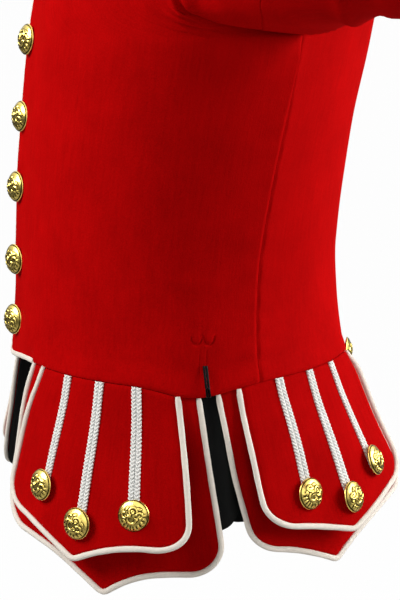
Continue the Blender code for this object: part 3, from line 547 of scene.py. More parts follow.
def give_wall(sheet, thickness, edge):
    """Turn a sheet into a cloth wall that lies behind it, with its cut edges rounded."""
    wall = sheet.modifiers.new("wall", "SOLIDIFY")
    wall.thickness, wall.offset = thickness * MM, -1
    bpy.ops.object.modifier_apply(modifier=wall.name)
    rounded = sheet.modifiers.new("rounded", "BEVEL")
    rounded.limit_method, rounded.angle_limit = "ANGLE", radians(60)
    rounded.width, rounded.segments = edge * MM, 2
    bpy.ops.object.modifier_apply(modifier=rounded.name)
    bpy.ops.object.shade_smooth_by_angle(angle=radians(60))


def finish_piece(piece, material):
    """Give a piece its material and hide its solid, which has its name without the first word."""
    piece.data.materials.clear()
    piece.data.materials.append(material)
    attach(piece, "root")
    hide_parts(piece.name.split("_", 1)[1])


def add_cloth(name, columns, rows, place, side, thickness, flip=False, edge=0.5,
              fine=None, material=scarlet_wool):
    """One piece of cloth on the wearer's left (1) or right (-1)."""
    def placed(u, v):
        points = place(u if side > 0 else 1 - u, v)
        return points * (side, 1.0, 1.0)

    if fine and side < 0:
        fine = (1 - fine[1], 1 - fine[0], *fine[2:])
    sheet, size, area = add_sheet(name, columns, rows, placed, flip, fine=fine)
    give_wall(sheet, thickness, edge)
    finish_piece(sheet, material)


def panel_angle(panel, side, u, height):
    """From a front's opening or a back's seam and the neckline, to the side-back seam and armhole."""
    outer = side_angle(panel, height)
    if panel == "back":
        seam = pi - SEAM / 2 / half_width(height)
        on_neck = pi - body_angle(neck_x(height, NECK_BACK_HEIGHT), height)
        inner = np.where(height > NECK_BACK_HEIGHT, on_neck, seam)
        return outer + (inner - outer) * edge_dense(u)
    opening = -body_angle(OVERLAP if side > 0 else UNDERLAP, height)
    on_neck = body_angle(neck_x(height, NECK_FRONT_HEIGHT), height)
    inner = np.where(height > NECK_FRONT_HEIGHT, on_neck, opening)
    return inner + (outer - inner) * edge_dense(u)


def bodice_place(panel, side):
    """The surface of one front or back, over u across it and v upwards."""
    def place(u, v):
        height = edge_dense(v, share=0.7) * RIDGE_HEIGHT
        angle = panel_angle(panel, side, u, height)
        side_gap = gap_to_edge(panel, angle, height)
        creases = crease_lift(BODY_CREASES, np.degrees(angle), height, BODY_DEGREE)
        lift = cloth_life(angle, height) * ease(side_gap / WAVES_EDGE)
        lift = lift + creases * ease(side_gap / CREASES_EDGE)
        lift = lift * above_seam(height)
        roll = np.where(height < ARMPIT_HEIGHT, SEAM_ROLL, ARMHOLE_ROLL)
        lift = lift - roll * bell(side_gap, SEAM_ROLL_WIDTH)
        corner = CORNER * (CORNER_LEAST + (1 - CORNER_LEAST) * ease(height / CORNER_FULL))
        corner = corner * (1 - ease((height - CORNER_END) / CORNER_FADE))
        lift = lift + corner * np.exp(-side_gap / CORNER_REACH)
        if panel == "back":
            centre_gap = (pi - angle) * half_width(height)
            lift = lift - SEAM_ROLL * bell(centre_gap, SEAM_ROLL_WIDTH)
        below_arm = 1 - ease((height - ARMPIT_HEIGHT + PUCKER_FADE) / PUCKER_FADE)
        drift = PUCKER_DRIFT * np.sin(height / PUCKER_DRIFT_LENGTH)
        pull = PUCKER * np.sin(2 * pi * height / PUCKER_LENGTH + drift)
        lift = lift + pull * bell(side_gap, PUCKER_REACH) * below_arm * ease(side_gap / PUCKER_EDGE)
        if panel == "front":
            lift = lift + pressed_plate(angle, height)
        covers = lip(angle)
        over_flaps = 1 - ease(height / LIP_HEIGHT)
        lift = lift + covers * LIP_LIFT * over_flaps
        lift = lift - LIP_ROLL * covers * bell(height, LIP_ROLL_HEIGHT)
        if panel == "front" and side < 0:
            lift = lift - underlap_drop(angle, height)
        height = height + np.where(v < 1e-6, SEAM / 2, 0) - LIP_DROP * covers * over_flaps
        return torso(angle, height, lift)

    return place


BODICE_ROWS = 150
HOOK_WINDOW = (0.675, 0.775, 0.055, 0.17)  # the part of a front round the hook, which is cut finer
for side, hand in HANDS:
    for panel, columns, fine in (("front", 112, HOOK_WINDOW), ("back", 74, None)):
        add_cloth(f"sewn_{panel}_{hand}", columns, BODICE_ROWS, bodice_place(panel, side), side, BODY_CLOTH,
                  fine=fine)

# ------------------------------------------------------------------ sleeves
# Two-piece sleeves of the same wool, a wide top sleeve and a narrow under sleeve, set into the
# armholes and bent back at the elbows. Folds run off the armhole where the arm pulls the cloth.

# The arm at each distance from the armhole: its heading in degrees, its half depth and half height,
# and how far its middle is raised.
Sleeve = namedtuple("Sleeve", "distance heading across upright rise")
SLEEVE_SECTIONS = (
    Sleeve(0, 42, 56, 93, 0),
    Sleeve(45, 42, 68, 86, 0),
    Sleeve(110, 42, 70, 80, 0),
    Sleeve(200, 40, 66, 73, 1),
    Sleeve(300, 26, 60, 64, 1),
    Sleeve(420, 10, 55, 57, 0),
    Sleeve(590, 6, 47, 47, -2),
)
SLEEVE_LENGTH, SLEEVE_BLEND, SLEEVE_TUCK = 590.0, 95.0, 1.2
SLEEVE_STEP, SLEEVE_ROWS = 5.0, 112
ROUND_ARM = 16.0  # the ring is counted in sixteenths, from the armpit up the front
HALF_ROUND = ROUND_ARM / 2
HINDARM_SEAM = 12.0
SeamPlace = namedtuple("SeamPlace", "distance ring")
FOREARM_SEAM = [SeamPlace(*row) for row in (
    (0, 1.0), (6, 1.02), (30, 1.5), (46, 2.0), (55, 2.5), (64, 2.7), (590, 2.7))]
SLEEVE_CREASES = [Crease(*row) for row in (  # sixteenths of the ring and distances from the armhole
    (2.9, 22, 2.1, 4, 3.4, 5.5), (2.3, 22, 2.75, 6, 4.2, -4.0), (2.9, 108, 0.7, 84, 6.5, 4.6),
    (3.0, 124, 0.6, 99, 7.5, -4.6), (3.4, 4, 4.6, 110, 11.0, 2.6), (3.0, 8, 3.9, 84, 8.0, -2.4),
    (5.4, 5, 6.2, 120, 13.0, 2.2), (-1.7, 6, -2.6, 90, 9.0, 2.6), (-5.5, 10, -6.2, 140, 15.0, 2.6),
    (-3.5, 235, -5.5, 330, 21.0, 3.0), (-1.4, 255, -4.4, 345, 19.0, -3.2), (1.2, 230, 4.0, 350, 21.0, 2.6),
    (3.0, 270, 5.4, 370, 19.0, -2.4),
)]
RING_STEP = 27.0  # millimetres in a sixteenth of the ring
SLEEVE_HEAD_SINK, SLEEVE_HEAD_WIDTH = 0.35, 2.2
FOLDS_FADE, WAVES_FADE = 8, 40  # distances from the armhole over which each sets in
ARMHOLE_POINTS = 120
UP = np.array([0.0, 0.0, 1.0])

# The armhole as a closed loop of the bodice's own edge, up the front and down the back.
loop_shares = edge_dense(np.linspace(0, 1, ARMHOLE_POINTS), share=0.6)
loop_heights = ARMPIT_HEIGHT + (RIDGE_HEIGHT - ARMPIT_HEIGHT) * loop_shares
back_heights = loop_heights[-2:0:-1]
armhole = np.concatenate((torso(side_angle("front", loop_heights), loop_heights),
                          torso(side_angle("back", back_heights), back_heights)))
arm_middle = (armhole.max(axis=0) + armhole.min(axis=0)) / 2
path_distances = np.arange(0, SLEEVE_LENGTH + 1, SLEEVE_STEP)
path_headings = np.radians(smooth_value(SLEEVE_SECTIONS, "heading", path_distances))
path_steps = np.stack((np.cos(path_headings), np.sin(path_headings), 0 * path_headings), axis=1) * SLEEVE_STEP
path_points = arm_middle + np.concatenate(([[0, 0, 0]], np.cumsum(path_steps[:-1], axis=0)))
first_heading = np.array([cos(path_headings[0]), sin(path_headings[0]), 0])
first_behind = np.array([-first_heading[1], first_heading[0], 0])
# How far each point of the armhole is turned round the arm, from the armpit.
loop_turns = np.unwrap(np.arctan2((armhole - arm_middle) @ first_behind, arm_middle[2] - armhole[:, 2]))
turn_start, turn_tip = loop_turns[0], loop_turns[armhole[:, 2].argmax()]
turn_end = turn_start + 2 * pi * np.sign(loop_turns[-1] - loop_turns[0])
loop_turns = np.append(loop_turns, turn_end)
turn_order = np.argsort(loop_turns)
loop_turns = loop_turns[turn_order]
armhole = np.vstack((armhole, armhole[:1]))[turn_order]


def points_at(at, run, points):
    """Points of a line, at distances along it."""
    return np.stack([np.interp(at, run, points[:, k]) for k in range(3)], axis=1)


def sleeve_folds(ring, distance):
    ring_about = (ring + HALF_ROUND) % ROUND_ARM - HALF_ROUND
    folds = crease_lift(SLEEVE_CREASES, ring_about, distance, RING_STEP)
    waves = 0.5 * np.sin(distance / 21 + ring * 1.3) * np.sin(ring * 0.9 + distance / 60)
    return folds * ease((distance + 1) / FOLDS_FADE) + waves * ease(distance / WAVES_FADE)


def sleeve_place(piece):
    """The surface of one sleeve piece: the armhole's own shape, blended into an oval round the arm."""
    def place(u, v):
        distance = np.clip(edge_dense(v, share=0.6), 0, 1) * SLEEVE_LENGTH
        forearm = smooth_value(FOREARM_SEAM, "ring", distance)
        first, last = (forearm, HINDARM_SEAM) if piece == "top" else (HINDARM_SEAM, forearm + ROUND_ARM)
        ring = (first + (last - first) * edge_dense(u)) % ROUND_ARM
        turn = np.where(ring <= HALF_ROUND, turn_start + (turn_tip - turn_start) * ring / HALF_ROUND,
                        turn_tip + (turn_end - turn_tip) * (ring - HALF_ROUND) / HALF_ROUND)
        start = points_at(turn, loop_turns, armhole)
        centre = points_at(distance, path_distances, path_points)
        heading = np.interp(distance, path_distances, path_headings)
        behind = np.stack((-np.sin(heading), np.cos(heading), 0 * heading), axis=1)
        across = smooth_value(SLEEVE_SECTIONS, "across", distance)
        upright = smooth_value(SLEEVE_SECTIONS, "upright", distance)
        rise = smooth_value(SLEEVE_SECTIONS, "rise", distance)
        out_back, out_up = np.sin(turn), -np.cos(turn)
        outward = unit(behind * (out_back / across)[:, None] + np.outer(out_up / upright, UP))
        shaped = centre + behind * (across * out_back)[:, None] + np.outer(rise + upright * out_up, UP)
        held = start + first_heading * (distance - SLEEVE_TUCK)[:, None]
        blend = ease(distance / SLEEVE_BLEND)[:, None]
        girth = 2 * pi * (across + upright) / 2 / ROUND_ARM
        seam_gap = np.minimum(u, 1 - u) * (last - first) * girth
        lift = sleeve_folds(ring, distance)
        lift = lift - SEAM_ROLL * bell(seam_gap, SEAM_ROLL_WIDTH)
        lift = lift - SLEEVE_HEAD_SINK * bell(distance, SLEEVE_HEAD_WIDTH)
        return held * (1 - blend) + shaped * blend + outward * lift[:, None]

    return place


for side, hand in HANDS:
    for piece, columns in (("top", 96), ("under", 50)):
        add_cloth(f"sewn_{piece}_sleeve_{hand}", columns, SLEEVE_ROWS, sleeve_place(piece), side, BODY_CLOTH,
                  flip=True)

# ------------------------------------------------------------------ collar
# A stiffened stand collar of the wool, on the neckline, open at the centre front with its top
# corners rounded off.

COLLAR_CLOTH, COLLAR_HEIGHT, COLLAR_LEAN, COLLAR_GAP = 3.0, 43.0, 5.0, 0.9
COLLAR_OPENING = 0.5  # half of the gap at the centre front
COLLAR_CORNER, COLLAR_BULGE, COLLAR_ROLL_HEIGHT, COLLAR_EDGE = 9.0, 0.8, 1.5, 0.8
COLLAR_COLUMNS, COLLAR_ROWS = 160, 20

neck_turns = np.linspace(0, pi, 181)  # from the centre front over the side to the centre back
neck_front = neck_turns <= pi / 2
neck_heights = np.where(neck_front, RIDGE_HEIGHT - (RIDGE_HEIGHT - NECK_FRONT_HEIGHT) * np.cos(neck_turns),
                        RIDGE_HEIGHT + (RIDGE_HEIGHT - NECK_BACK_HEIGHT) * np.cos(neck_turns))
neck_angles = body_angle(np.maximum(NECK_HALF_WIDTH * np.sin(neck_turns), COLLAR_OPENING), neck_heights)
neckline = torso(np.where(neck_front, neck_angles, pi - neck_angles), neck_heights)
neckline[-1, 0] = 0
neckline = np.concatenate((neckline, (neckline * (-1, 1, 1))[-2::-1]))
neck_run = run_of(neckline)
neck_centre_y = neckline[:, 1].mean()


def collar_place(u, v):
    run = u * neck_run[-1]
    foot = points_at(run, neck_run, neckline)
    outward = foot - (0, neck_centre_y, 0)
    outward[:, 2] = 0
    outward = unit(outward)
    to_end = np.minimum(run, neck_run[-1] - run)
    corner = np.clip(1 - to_end / COLLAR_CORNER, 0, 1)
    top = COLLAR_HEIGHT - COLLAR_CORNER * (1 - np.sqrt(1 - corner**2))
    rise = edge_dense(v, share=0.6)
    bulge = COLLAR_BULGE * np.sin(pi * rise) - SEAM_ROLL * bell(rise * COLLAR_HEIGHT, COLLAR_ROLL_HEIGHT)
    foot = foot - outward * COLLAR_GAP
    foot[:, 2] += COLLAR_GAP
    return foot + outward * (bulge - COLLAR_LEAN * rise)[:, None] + np.outer(top * rise, UP)


add_cloth("sewn_collar", COLLAR_COLUMNS, COLLAR_ROWS, collar_place, 1, COLLAR_CLOTH, edge=COLLAR_EDGE)

# ------------------------------------------------------------------ flaps
# Four pairs of shaped flaps hang from the waist seam, an under flap and a smaller over flap each.
# They are wool, stiff enough to swing out, and the over flap stands off the under one.

FLAP_CLOTH = 2.0
PIPING_RADIUS = 1.8
PIPING_INSET = 2 * PIPING_RADIUS + SEAM
CORNER_RADIUS = 19.0
FLARE_FRONT, FLARE_REAR, FLARE_FRONT_UNTIL, FLARE_REAR_FROM = 8.5, 23.0, 100.0, 165.0  # degrees
STAND_OFF = 5.5
STIFF_FROM, OVER_STIFF, UNDER_STIFF = 366.0, 0.0019, 0.001
# The rear ends are stiff from this depth on, and give way again by a share further down.
STIFF_DEPTH, GIVE, GIVE_FROM, GIVE_FADE = 26, 0.5, 30, 50
# The under flaps hang closer to the legs than their waist seam, and turn out a little beside the vent.
UNDER_TUCK, TUCK_FRONT, TUCK_REAR, TUCK_START, TUCK_DEPTH = 8.0, (84.0, 132.0), (330.0, 392.0), 2, 50
VENT_EDGES, VENT_MIDDLE, VENT_WIDTH = (247.5, 255.0), 244, 12
VENT_TURNS, VENT_TURN_REACH = (12.5, 8.0), 36.0
# The over flaps lift beside the vent. Their edges lie this far from its own, ahead and behind.
VENT_LIFT, VENT_LIFT_REACH, OVER_GAPS = 6.0, 60, (28, 4)
VENT_LIFT_START, VENT_LIFT_DEPTH = 6, 60
FLAP_COLUMNS, FLAP_ROWS = 66, 42
FLAP_ROLL, FLAP_ROLL_WIDTH = 0.8, 1.3  # the edges roll in
FLAP_DENT, FLAP_DENT_AT, FLAP_DENT_WIDTH = 0.28, 5, 3  # and the stitching draws a line inside them

# Places along the waist seam and depths below it, both in millimetres.
Flap = namedtuple("Flap", "front_top front_low front_bow rear_top rear_low rear_bow "
                          "front_corner rear_corner point_at point_depth sharpness")
UNDER_FLAPS = {
    "front": Flap(72.8, 74, 14.5, 231, 247.5, 1, 127, 130.5, 166, 158, 2.1),
    "rear": Flap(241.5, 268, 2, 410, 410, 2, 127, 117, 325, 147, 2.0),
}
OVER_FLAPS = {
    "front": Flap(93, 75.5, 12, 216, 222, 2.5, 110.5, 114, 151.5, 133.5, 2.0),
    "rear": Flap(256.5, 269, 1, 405, 403, 2, 109, 107, 328.5, 126, 1.6),
}


def flap_frame(place):
    """Start on the waist seam, direction down the flap and outward normal, at places along the seam."""
    angle = np.interp(place, SEAM_PLACES, SEAM_ANGLES)
    start = torso_base(angle, 0.0)
    depth = np.where(np.cos(angle) > 0, LEVELS[0].front, LEVELS[0].back)
    outward = np.stack((np.sin(angle) / LEVELS[0].half_width, -np.cos(angle) / depth, 0 * angle), axis=-1)
    outward = unit(outward)
    turn = ease((np.degrees(angle) - FLARE_FRONT_UNTIL) / (FLARE_REAR_FROM - FLARE_FRONT_UNTIL))
    swing = np.radians(FLARE_FRONT + (FLARE_REAR - FLARE_FRONT) * turn)[..., None]
    return start, outward * np.sin(swing) - UP * np.cos(swing), outward * np.cos(swing) + UP * np.sin(swing)


def sway(place, depth):
    """Slow waves that all the layers of the flaps share: upright ones, slanting dents and small ones."""
    slow = 0.9 * np.sin(place / 24 + 0.8) * np.sin(depth / 50)
    slant = 0.55 * np.sin(place / 31 - depth / 15 + 1.2)
    slant = slant * ease(depth / 30) * (1 - ease((depth - 70) / 30))
    return slow + slant + 0.35 * np.sin(place / 11 + depth / 37) * ease(depth / 40)


def flap_point(place, depth, lift):
    start, down, normal = flap_frame(place)
    return start + np.asarray(depth)[..., None] * down + (lift + sway(place, depth))[..., None] * normal


def rear_end(place, depth):
    """The flaps' rear ends are stiff and leave the round of the body."""
    stiff = np.maximum(place - STIFF_FROM, 0.0) ** 2 * ease(depth / STIFF_DEPTH)
    return stiff * (1 - GIVE * ease((depth - GIVE_FROM) / GIVE_FADE))


def over_lift(place, depth):
    """The over flap swings off the under one."""
    rise = STAND_OFF * (np.maximum(depth, 0.0) / OVER_FLAPS["front"].front_corner) ** 2
    off_vent = np.maximum(VENT_EDGES[0] - OVER_GAPS[0] - place, place - VENT_EDGES[1] - OVER_GAPS[1])
    lower = ease((depth - VENT_LIFT_START) / VENT_LIFT_DEPTH)
    rise = rise + VENT_LIFT * (1 - ease(off_vent / VENT_LIFT_REACH)) * lower
    return SEAM + FLAP_CLOTH + rise + OVER_STIFF * rear_end(place, depth)


def under_lift(place, depth):
    tuck = UNDER_TUCK * ease((place - TUCK_FRONT[0]) / (TUCK_FRONT[1] - TUCK_FRONT[0]))
    tuck = tuck * (1 - ease((place - TUCK_REAR[0]) / (TUCK_REAR[1] - TUCK_REAR[0])))
    off_vent = np.maximum(VENT_EDGES[0] - place, place - VENT_EDGES[1])
    turn = VENT_TURNS[0] + (VENT_TURNS[1] - VENT_TURNS[0]) * ease((place - VENT_MIDDLE) / VENT_WIDTH)
    turn = turn * (1 - ease(off_vent / VENT_TURN_REACH))
    return UNDER_STIFF * rear_end(place, depth) - (tuck - turn) * ease((depth - TUCK_START) / TUCK_DEPTH)


def flap_edge(flap, part, t):
    top, low = getattr(flap, part + "_top"), getattr(flap, part + "_low")
    bow = getattr(flap, part + "_bow") * (-1 if part == "front" else 1)
    return top + (low - top) * t + bow * 4 * t * (1 - t)


def flap_bottom(flap, u):
    """Depth of the wool's lower edge: rounded corners and a point."""
    place = flap.front_low + (flap.rear_low - flap.front_low) * u
    ahead = place < flap.point_at
    reach = np.where(ahead, flap.point_at - flap.front_low, flap.rear_low - flap.point_at)
    corner = np.where(ahead, flap.front_corner, flap.rear_corner)
    q = np.minimum(1.0, np.abs(place - flap.point_at) / reach)
    depth = corner + (flap.point_depth - corner) * (1 - q) ** flap.sharpness
    turn = np.clip((q - 1 + CORNER_RADIUS / reach) * reach / CORNER_RADIUS, 0, 1)
    return depth - CORNER_RADIUS * (1 - np.sqrt(1 - turn**2)) - PIPING_INSET


def flap_share(flap, t):
    """Spread columns from 0 to 1 so that they crowd at the corners and on the point."""
    point = (flap.point_at - flap.front_low) / (flap.rear_low - flap.front_low)
    before = point * (1 - np.cos(2 * pi * t)) / 2
    after = point + (1 - point) * (1 - np.cos(2 * pi * (t - 0.5))) / 2
    return np.where(t < 0.5, before, after)


def flap_place_depth(flap, u, v, first_depth):
    """Place along the seam and depth below it, over u across the wool and v down it."""
    depth = first_depth + (flap_bottom(flap, u) - first_depth) * v
    t = depth / flap.point_depth
    front = flap_edge(flap, "front", t) + PIPING_INSET
    rear = flap_edge(flap, "rear", t) - PIPING_INSET
    return front + (rear - front) * u, depth


def flap_surface(flap, lift_at, first_depth):
    def place(u, v):
        share = flap_share(flap, u)
        along, depth = flap_place_depth(flap, share, edge_dense(v, share=0.6), first_depth)
        wide = flap.rear_low - flap.front_low
        edge_gap = np.minimum(np.minimum(share, 1 - share) * wide, (1 - v) * flap.point_depth)
        roll = FLAP_ROLL * bell(edge_gap, FLAP_ROLL_WIDTH)
        roll = roll - FLAP_DENT * bell(edge_gap - FLAP_DENT_AT, FLAP_DENT_WIDTH)
        tuck = FLAP_ROLL * bell(depth - first_depth, FLAP_ROLL_WIDTH)
        return flap_point(along, depth, lift_at(along, depth) - roll - tuck)

    return place


OVER_START = 2.5
# The two layers: shapes, how they hang, where the wool starts and how much lower its piping does.
Layer = namedtuple("Layer", "name flaps lift_at start piping_step")
FLAP_LAYERS = (
    Layer("under", UNDER_FLAPS, under_lift, 2.2, 0.4),
    Layer("over", OVER_FLAPS, over_lift, OVER_START, 0.3),
)
for side, hand in HANDS:
    for part in ("front", "rear"):
        for layer in FLAP_LAYERS:
            add_cloth(f"sewn_{part}_{layer.name}_flap_{hand}", FLAP_COLUMNS, FLAP_ROWS,
                      flap_surface(layer.flaps[part], layer.lift_at, layer.start), side, FLAP_CLOTH,
                      flip=True)

# ------------------------------------------------------------------ black linings
# Plain black cotton behind the under flaps. It reaches a little way into the side vent from both
# sides, where it hangs in soft upright creases.

LINING_CLOTH, LINING_EDGE, LINING_START = 1.0, 0.3, 2.6
UNDERLAP_WIDTH, UNDERLAP_DEPTH, UNDERLAP_ROUNDING = 17.0, 100.0, 9.0
LINING_REACH = 3.3  # how far it covers the back of the piping
LINING_DROP = 0.9  # how much further it does so along the bottom
LINING_GAP, LINING_SAG, LINING_SAG_REACH = 0.4, 1.2, 14  # off the wool, and inside its free edges
LINING_CREASE, LINING_CREASE_MOST = 1.1, 0.6
CREASE_TURNS, CREASE_LEAN, CREASE_TOP = 7.5, 31, 25  # over the part in the vent, and down it
LINING_COLUMNS, LINING_ROWS = 84, 34
# The rear lining steps in behind the front one beside the vent.
LINING_STEP, LINING_STEP_FROM, LINING_STEP_REACH = 1.4, 4, 24


def thread_group():
    """Plain weave on the piece's own pattern."""
    group, given, result = new_group("woven_threads", {
        "Colour": None, "Shadow colour": None, "Thread": 0.0007, "Slope": 0.0, "Relief": 0.3, "Gloss": 0.7})
    place = add_node(group, "TexCoord", {}).outputs
    parts = add_node(group, "SeparateXYZ", {"Vector": place["UV"]}).outputs
    per_thread = math_node(group, "DIVIDE", 2 * pi, given["Thread"])
    leaned = math_node(group, "MULTIPLY_ADD", parts["Y"], given["Slope"], parts["X"])
    crossed = math_node(group, "MULTIPLY", parts["X"], given["Slope"])
    waves = []
    for source in (leaned, math_node(group, "SUBTRACT", parts["Y"], crossed)):
        waves.append(math_node(group, "SINE", math_node(group, "MULTIPLY", source, per_thread)))
    weave = math_node(group, "MULTIPLY", *waves)
    lint = noise_node(group, place["Object"], scale=420.0, detail=4.0)
    cloudy = noise_node(group, place["Object"], scale=55.0, detail=3.0)
    threads = math_node(group, "MULTIPLY_ADD", weave, 0.22, lint)
    spread = range_node(group, math_node(group, "MULTIPLY_ADD", cloudy, 0.8, threads), 0.55, 1.2)
    colour = mix_colour(group, spread, given["Shadow colour"], given["Colour"])
    duller = math_node(group, "MULTIPLY_ADD", lint, 0.25, given["Gloss"])
    return end_group(group, result, colour, duller, threads, 0.0004, given["Relief"])


woven_threads = thread_group()
black_cotton = group_material(
    "black_cotton", woven_threads,
    {"Colour": (0.005, 0.0055, 0.005, 1), "Shadow colour": (0.0015, 0.0018, 0.0015, 1), "Gloss": 0.6},
    {"Specular IOR Level": 0.1})[0]


def lining_surface(part):
    flap = UNDER_FLAPS[part]
    wide = flap.rear_low - flap.front_low
    reach = UNDERLAP_WIDTH / (flap.rear_top - flap.front_top)

    def place(u, v):
        share = u * (1 + reach) if part == "front" else u * (1 + reach) - reach
        outside = np.clip(np.maximum(share - 1, -share) / reach, 0, 1)
        bottom = flap_bottom(flap, np.clip(share, 0, 1)) + LINING_REACH + LINING_DROP
        rounded = UNDERLAP_DEPTH - UNDERLAP_ROUNDING * outside**2
        bottom = np.where(outside > 0, np.minimum(bottom, rounded), bottom)
        depth = LINING_START + (bottom - LINING_START) * edge_dense(v, share=0.5)
        t = depth / flap.point_depth
        front = flap_edge(flap, "front", t) + PIPING_INSET - (LINING_REACH if part == "front" else 0)
        rear = flap_edge(flap, "rear", t) - PIPING_INSET + (LINING_REACH if part == "rear" else 0)
        along = front + (rear - front) * share
        creases = LINING_CREASE * np.sin(outside * CREASE_TURNS + depth / CREASE_LEAN)
        creases = creases * ease(outside * 3) * ease(depth / CREASE_TOP)
        free_edge = np.minimum((share if part == "front" else 1 - share) * wide, bottom - depth)
        lift = under_lift(along, depth) - FLAP_CLOTH - LINING_GAP
        lift = lift - LINING_SAG * ease(free_edge / LINING_SAG_REACH)
        lift = lift + np.minimum(creases, LINING_CREASE_MOST)
        if part == "rear":
            off_front = along - flap_edge(flap, "front", t)
            step = 1 - ease((off_front - LINING_STEP_FROM) / LINING_STEP_REACH)
            lift = lift - (LINING_CLOTH + LINING_STEP) * step
        return flap_point(along, depth, lift)

    return place


for side, hand in HANDS:
    for part in ("front", "rear"):
        add_cloth(f"sewn_{part}_flap_lining_{hand}", LINING_COLUMNS, LINING_ROWS, lining_surface(part), side,
                  LINING_CLOTH, flip=True, edge=LINING_EDGE,
                  material=black_cotton)

# ------------------------------------------------------------------ white piping
# A cord covered in off-white cotton, sewn along the free edges of every flap, down the closing
# edge and along the bottom edge ahead of the flaps.

PIPING_SIDES = 12
PIPING_STEP = 1.8  # distance between its rings
PIPING_HALF_WIDTH, PIPING_HALF_HEIGHT = 2.15, 1.6  # it lies a little flattened on the cloth
PIPING_BITE = 0.15  # how far it is sewn over the edge
PIPING_TAPER, PIPING_TAPER_LENGTH = 0.22, 2.2
# It turns outwards, by degrees, at the flaps' rear ends and along their front edges.
PIPING_REAR_TURN, PIPING_REAR_FROM, PIPING_REAR_FADE = 52, 386, 14
PIPING_FRONT_TURN, PIPING_FRONT_UNTIL, PIPING_FRONT_FADE = 20, 76, 18
PIPING_TURN_START, PIPING_TURN_DEPTH = 3, 14
OUTLINE_POINTS = 240  # to each edge of a flap

white_cotton = group_material(
    "white_cotton", woven_threads,
    {"Colour": (0.97, 0.89, 0.78, 1), "Shadow colour": (0.85, 0.78, 0.68, 1), "Thread": 0.0008, "Slope": 0.9,
     "Relief": 0.25, "Gloss": 0.66},
    {"Specular IOR Level": 0.2})[0]


def add_tube(name, sides, rings, place, marks=None):
    """A grid primitive rolled into a closed tube. place gives points of u round it and v along it."""
    tube, _, _ = add_sheet(name, sides, rings, place, marks=marks)
    bpy.ops.object.mode_set(mode="EDIT")
    bpy.ops.mesh.select_all(action="SELECT")
    bpy.ops.mesh.remove_doubles(threshold=1e-6)
    bpy.ops.mesh.select_all(action="SELECT")
    bpy.ops.mesh.fill_holes(sides=0)
    bpy.ops.mesh.select_all(action="SELECT")
    bpy.ops.mesh.normals_make_consistent(inside=False)
    bpy.ops.object.mode_set(mode="OBJECT")
    bpy.ops.object.shade_smooth_by_angle(angle=radians(60))
    return tube


def soften(line, times):
    """Round a line's corners, with its ends held."""
    for _ in range(times):
        line[1:-1] = (line[:-2] + 2 * line[1:-1] + line[2:]) / 4
    return line


def round_line(centre, across, upward, half_width_at, half_height_at):
    """The surface of a tube round a line of points, one ring of it to a point."""
    def place(u, v):
        ring = np.round(v * (len(centre) - 1)).astype(int)
        turn = 2 * pi * u
        return (centre[ring] + across[ring] * (half_width_at[ring] * np.cos(turn))[:, None]
                + upward[ring] * (half_height_at[ring] * np.sin(turn))[:, None])

    return place


def add_piping(name, edge, normals, turn_out, side, lift=-0.35):
    """Piping beside an edge, given as points, normals and how far it turns outwards."""
    edge, normals = edge * (side, 1, 1), normals * (side, 1, 1)
    run = run_of(edge)
    rings = int(run[-1] / PIPING_STEP)
    at = np.linspace(0, run[-1], rings + 1)
    line, normal = points_at(at, run, edge), unit(points_at(at, run, normals))
    across = side * unit(np.cross(np.gradient(line, axis=0), normal))
    turned = np.interp(at, run, np.broadcast_to(turn_out, len(edge)))[:, None]
    across, normal = (across * np.cos(turned) + normal * np.sin(turned),
                      normal * np.cos(turned) - across * np.sin(turned))
    centre = soften(line + across * (PIPING_HALF_WIDTH - PIPING_BITE) + normal * lift, 2)
    size = 1 - PIPING_TAPER * bell(np.minimum(at, run[-1] - at), PIPING_TAPER_LENGTH)
    size = size * (1 + 0.025 * np.sin(at / 3.1) + 0.02 * np.sin(at / 7.3 + 1))
    place = round_line(centre, across, normal, PIPING_HALF_WIDTH * size, PIPING_HALF_HEIGHT * size)
    finish_piece(add_tube(name, PIPING_SIDES, rings, place), white_cotton)


def flap_outline(flap, lift_at, first_depth):
    """The wool's free edges, down the front, along the bottom and up the rear, as piping takes them."""
    t, zero, one = np.linspace(0, 1, OUTLINE_POINTS), np.zeros(OUTLINE_POINTS), np.ones(OUTLINE_POINTS)
    share = np.concatenate((zero, flap_share(flap, t), one))
    along, depth = flap_place_depth(flap, share, np.concatenate((t, one, 1 - t)), first_depth)
    turn_out = PIPING_REAR_TURN * ease((along - PIPING_REAR_FROM) / PIPING_REAR_FADE)
    turn_out = turn_out + PIPING_FRONT_TURN * (1 - ease((along - PIPING_FRONT_UNTIL) / PIPING_FRONT_FADE))
    turn_out = np.radians(turn_out * ease((depth - PIPING_TURN_START) / PIPING_TURN_DEPTH))
    return flap_point(along, depth, lift_at(along, depth)), flap_frame(along)[2], turn_out


for side, hand in HANDS:
    for part in ("front", "rear"):
        for layer in FLAP_LAYERS:
            outline = flap_outline(layer.flaps[part], layer.lift_at, layer.start + layer.piping_step)
            add_piping(f"sewn_{part}_{layer.name}_piping_{hand}", *outline, side)

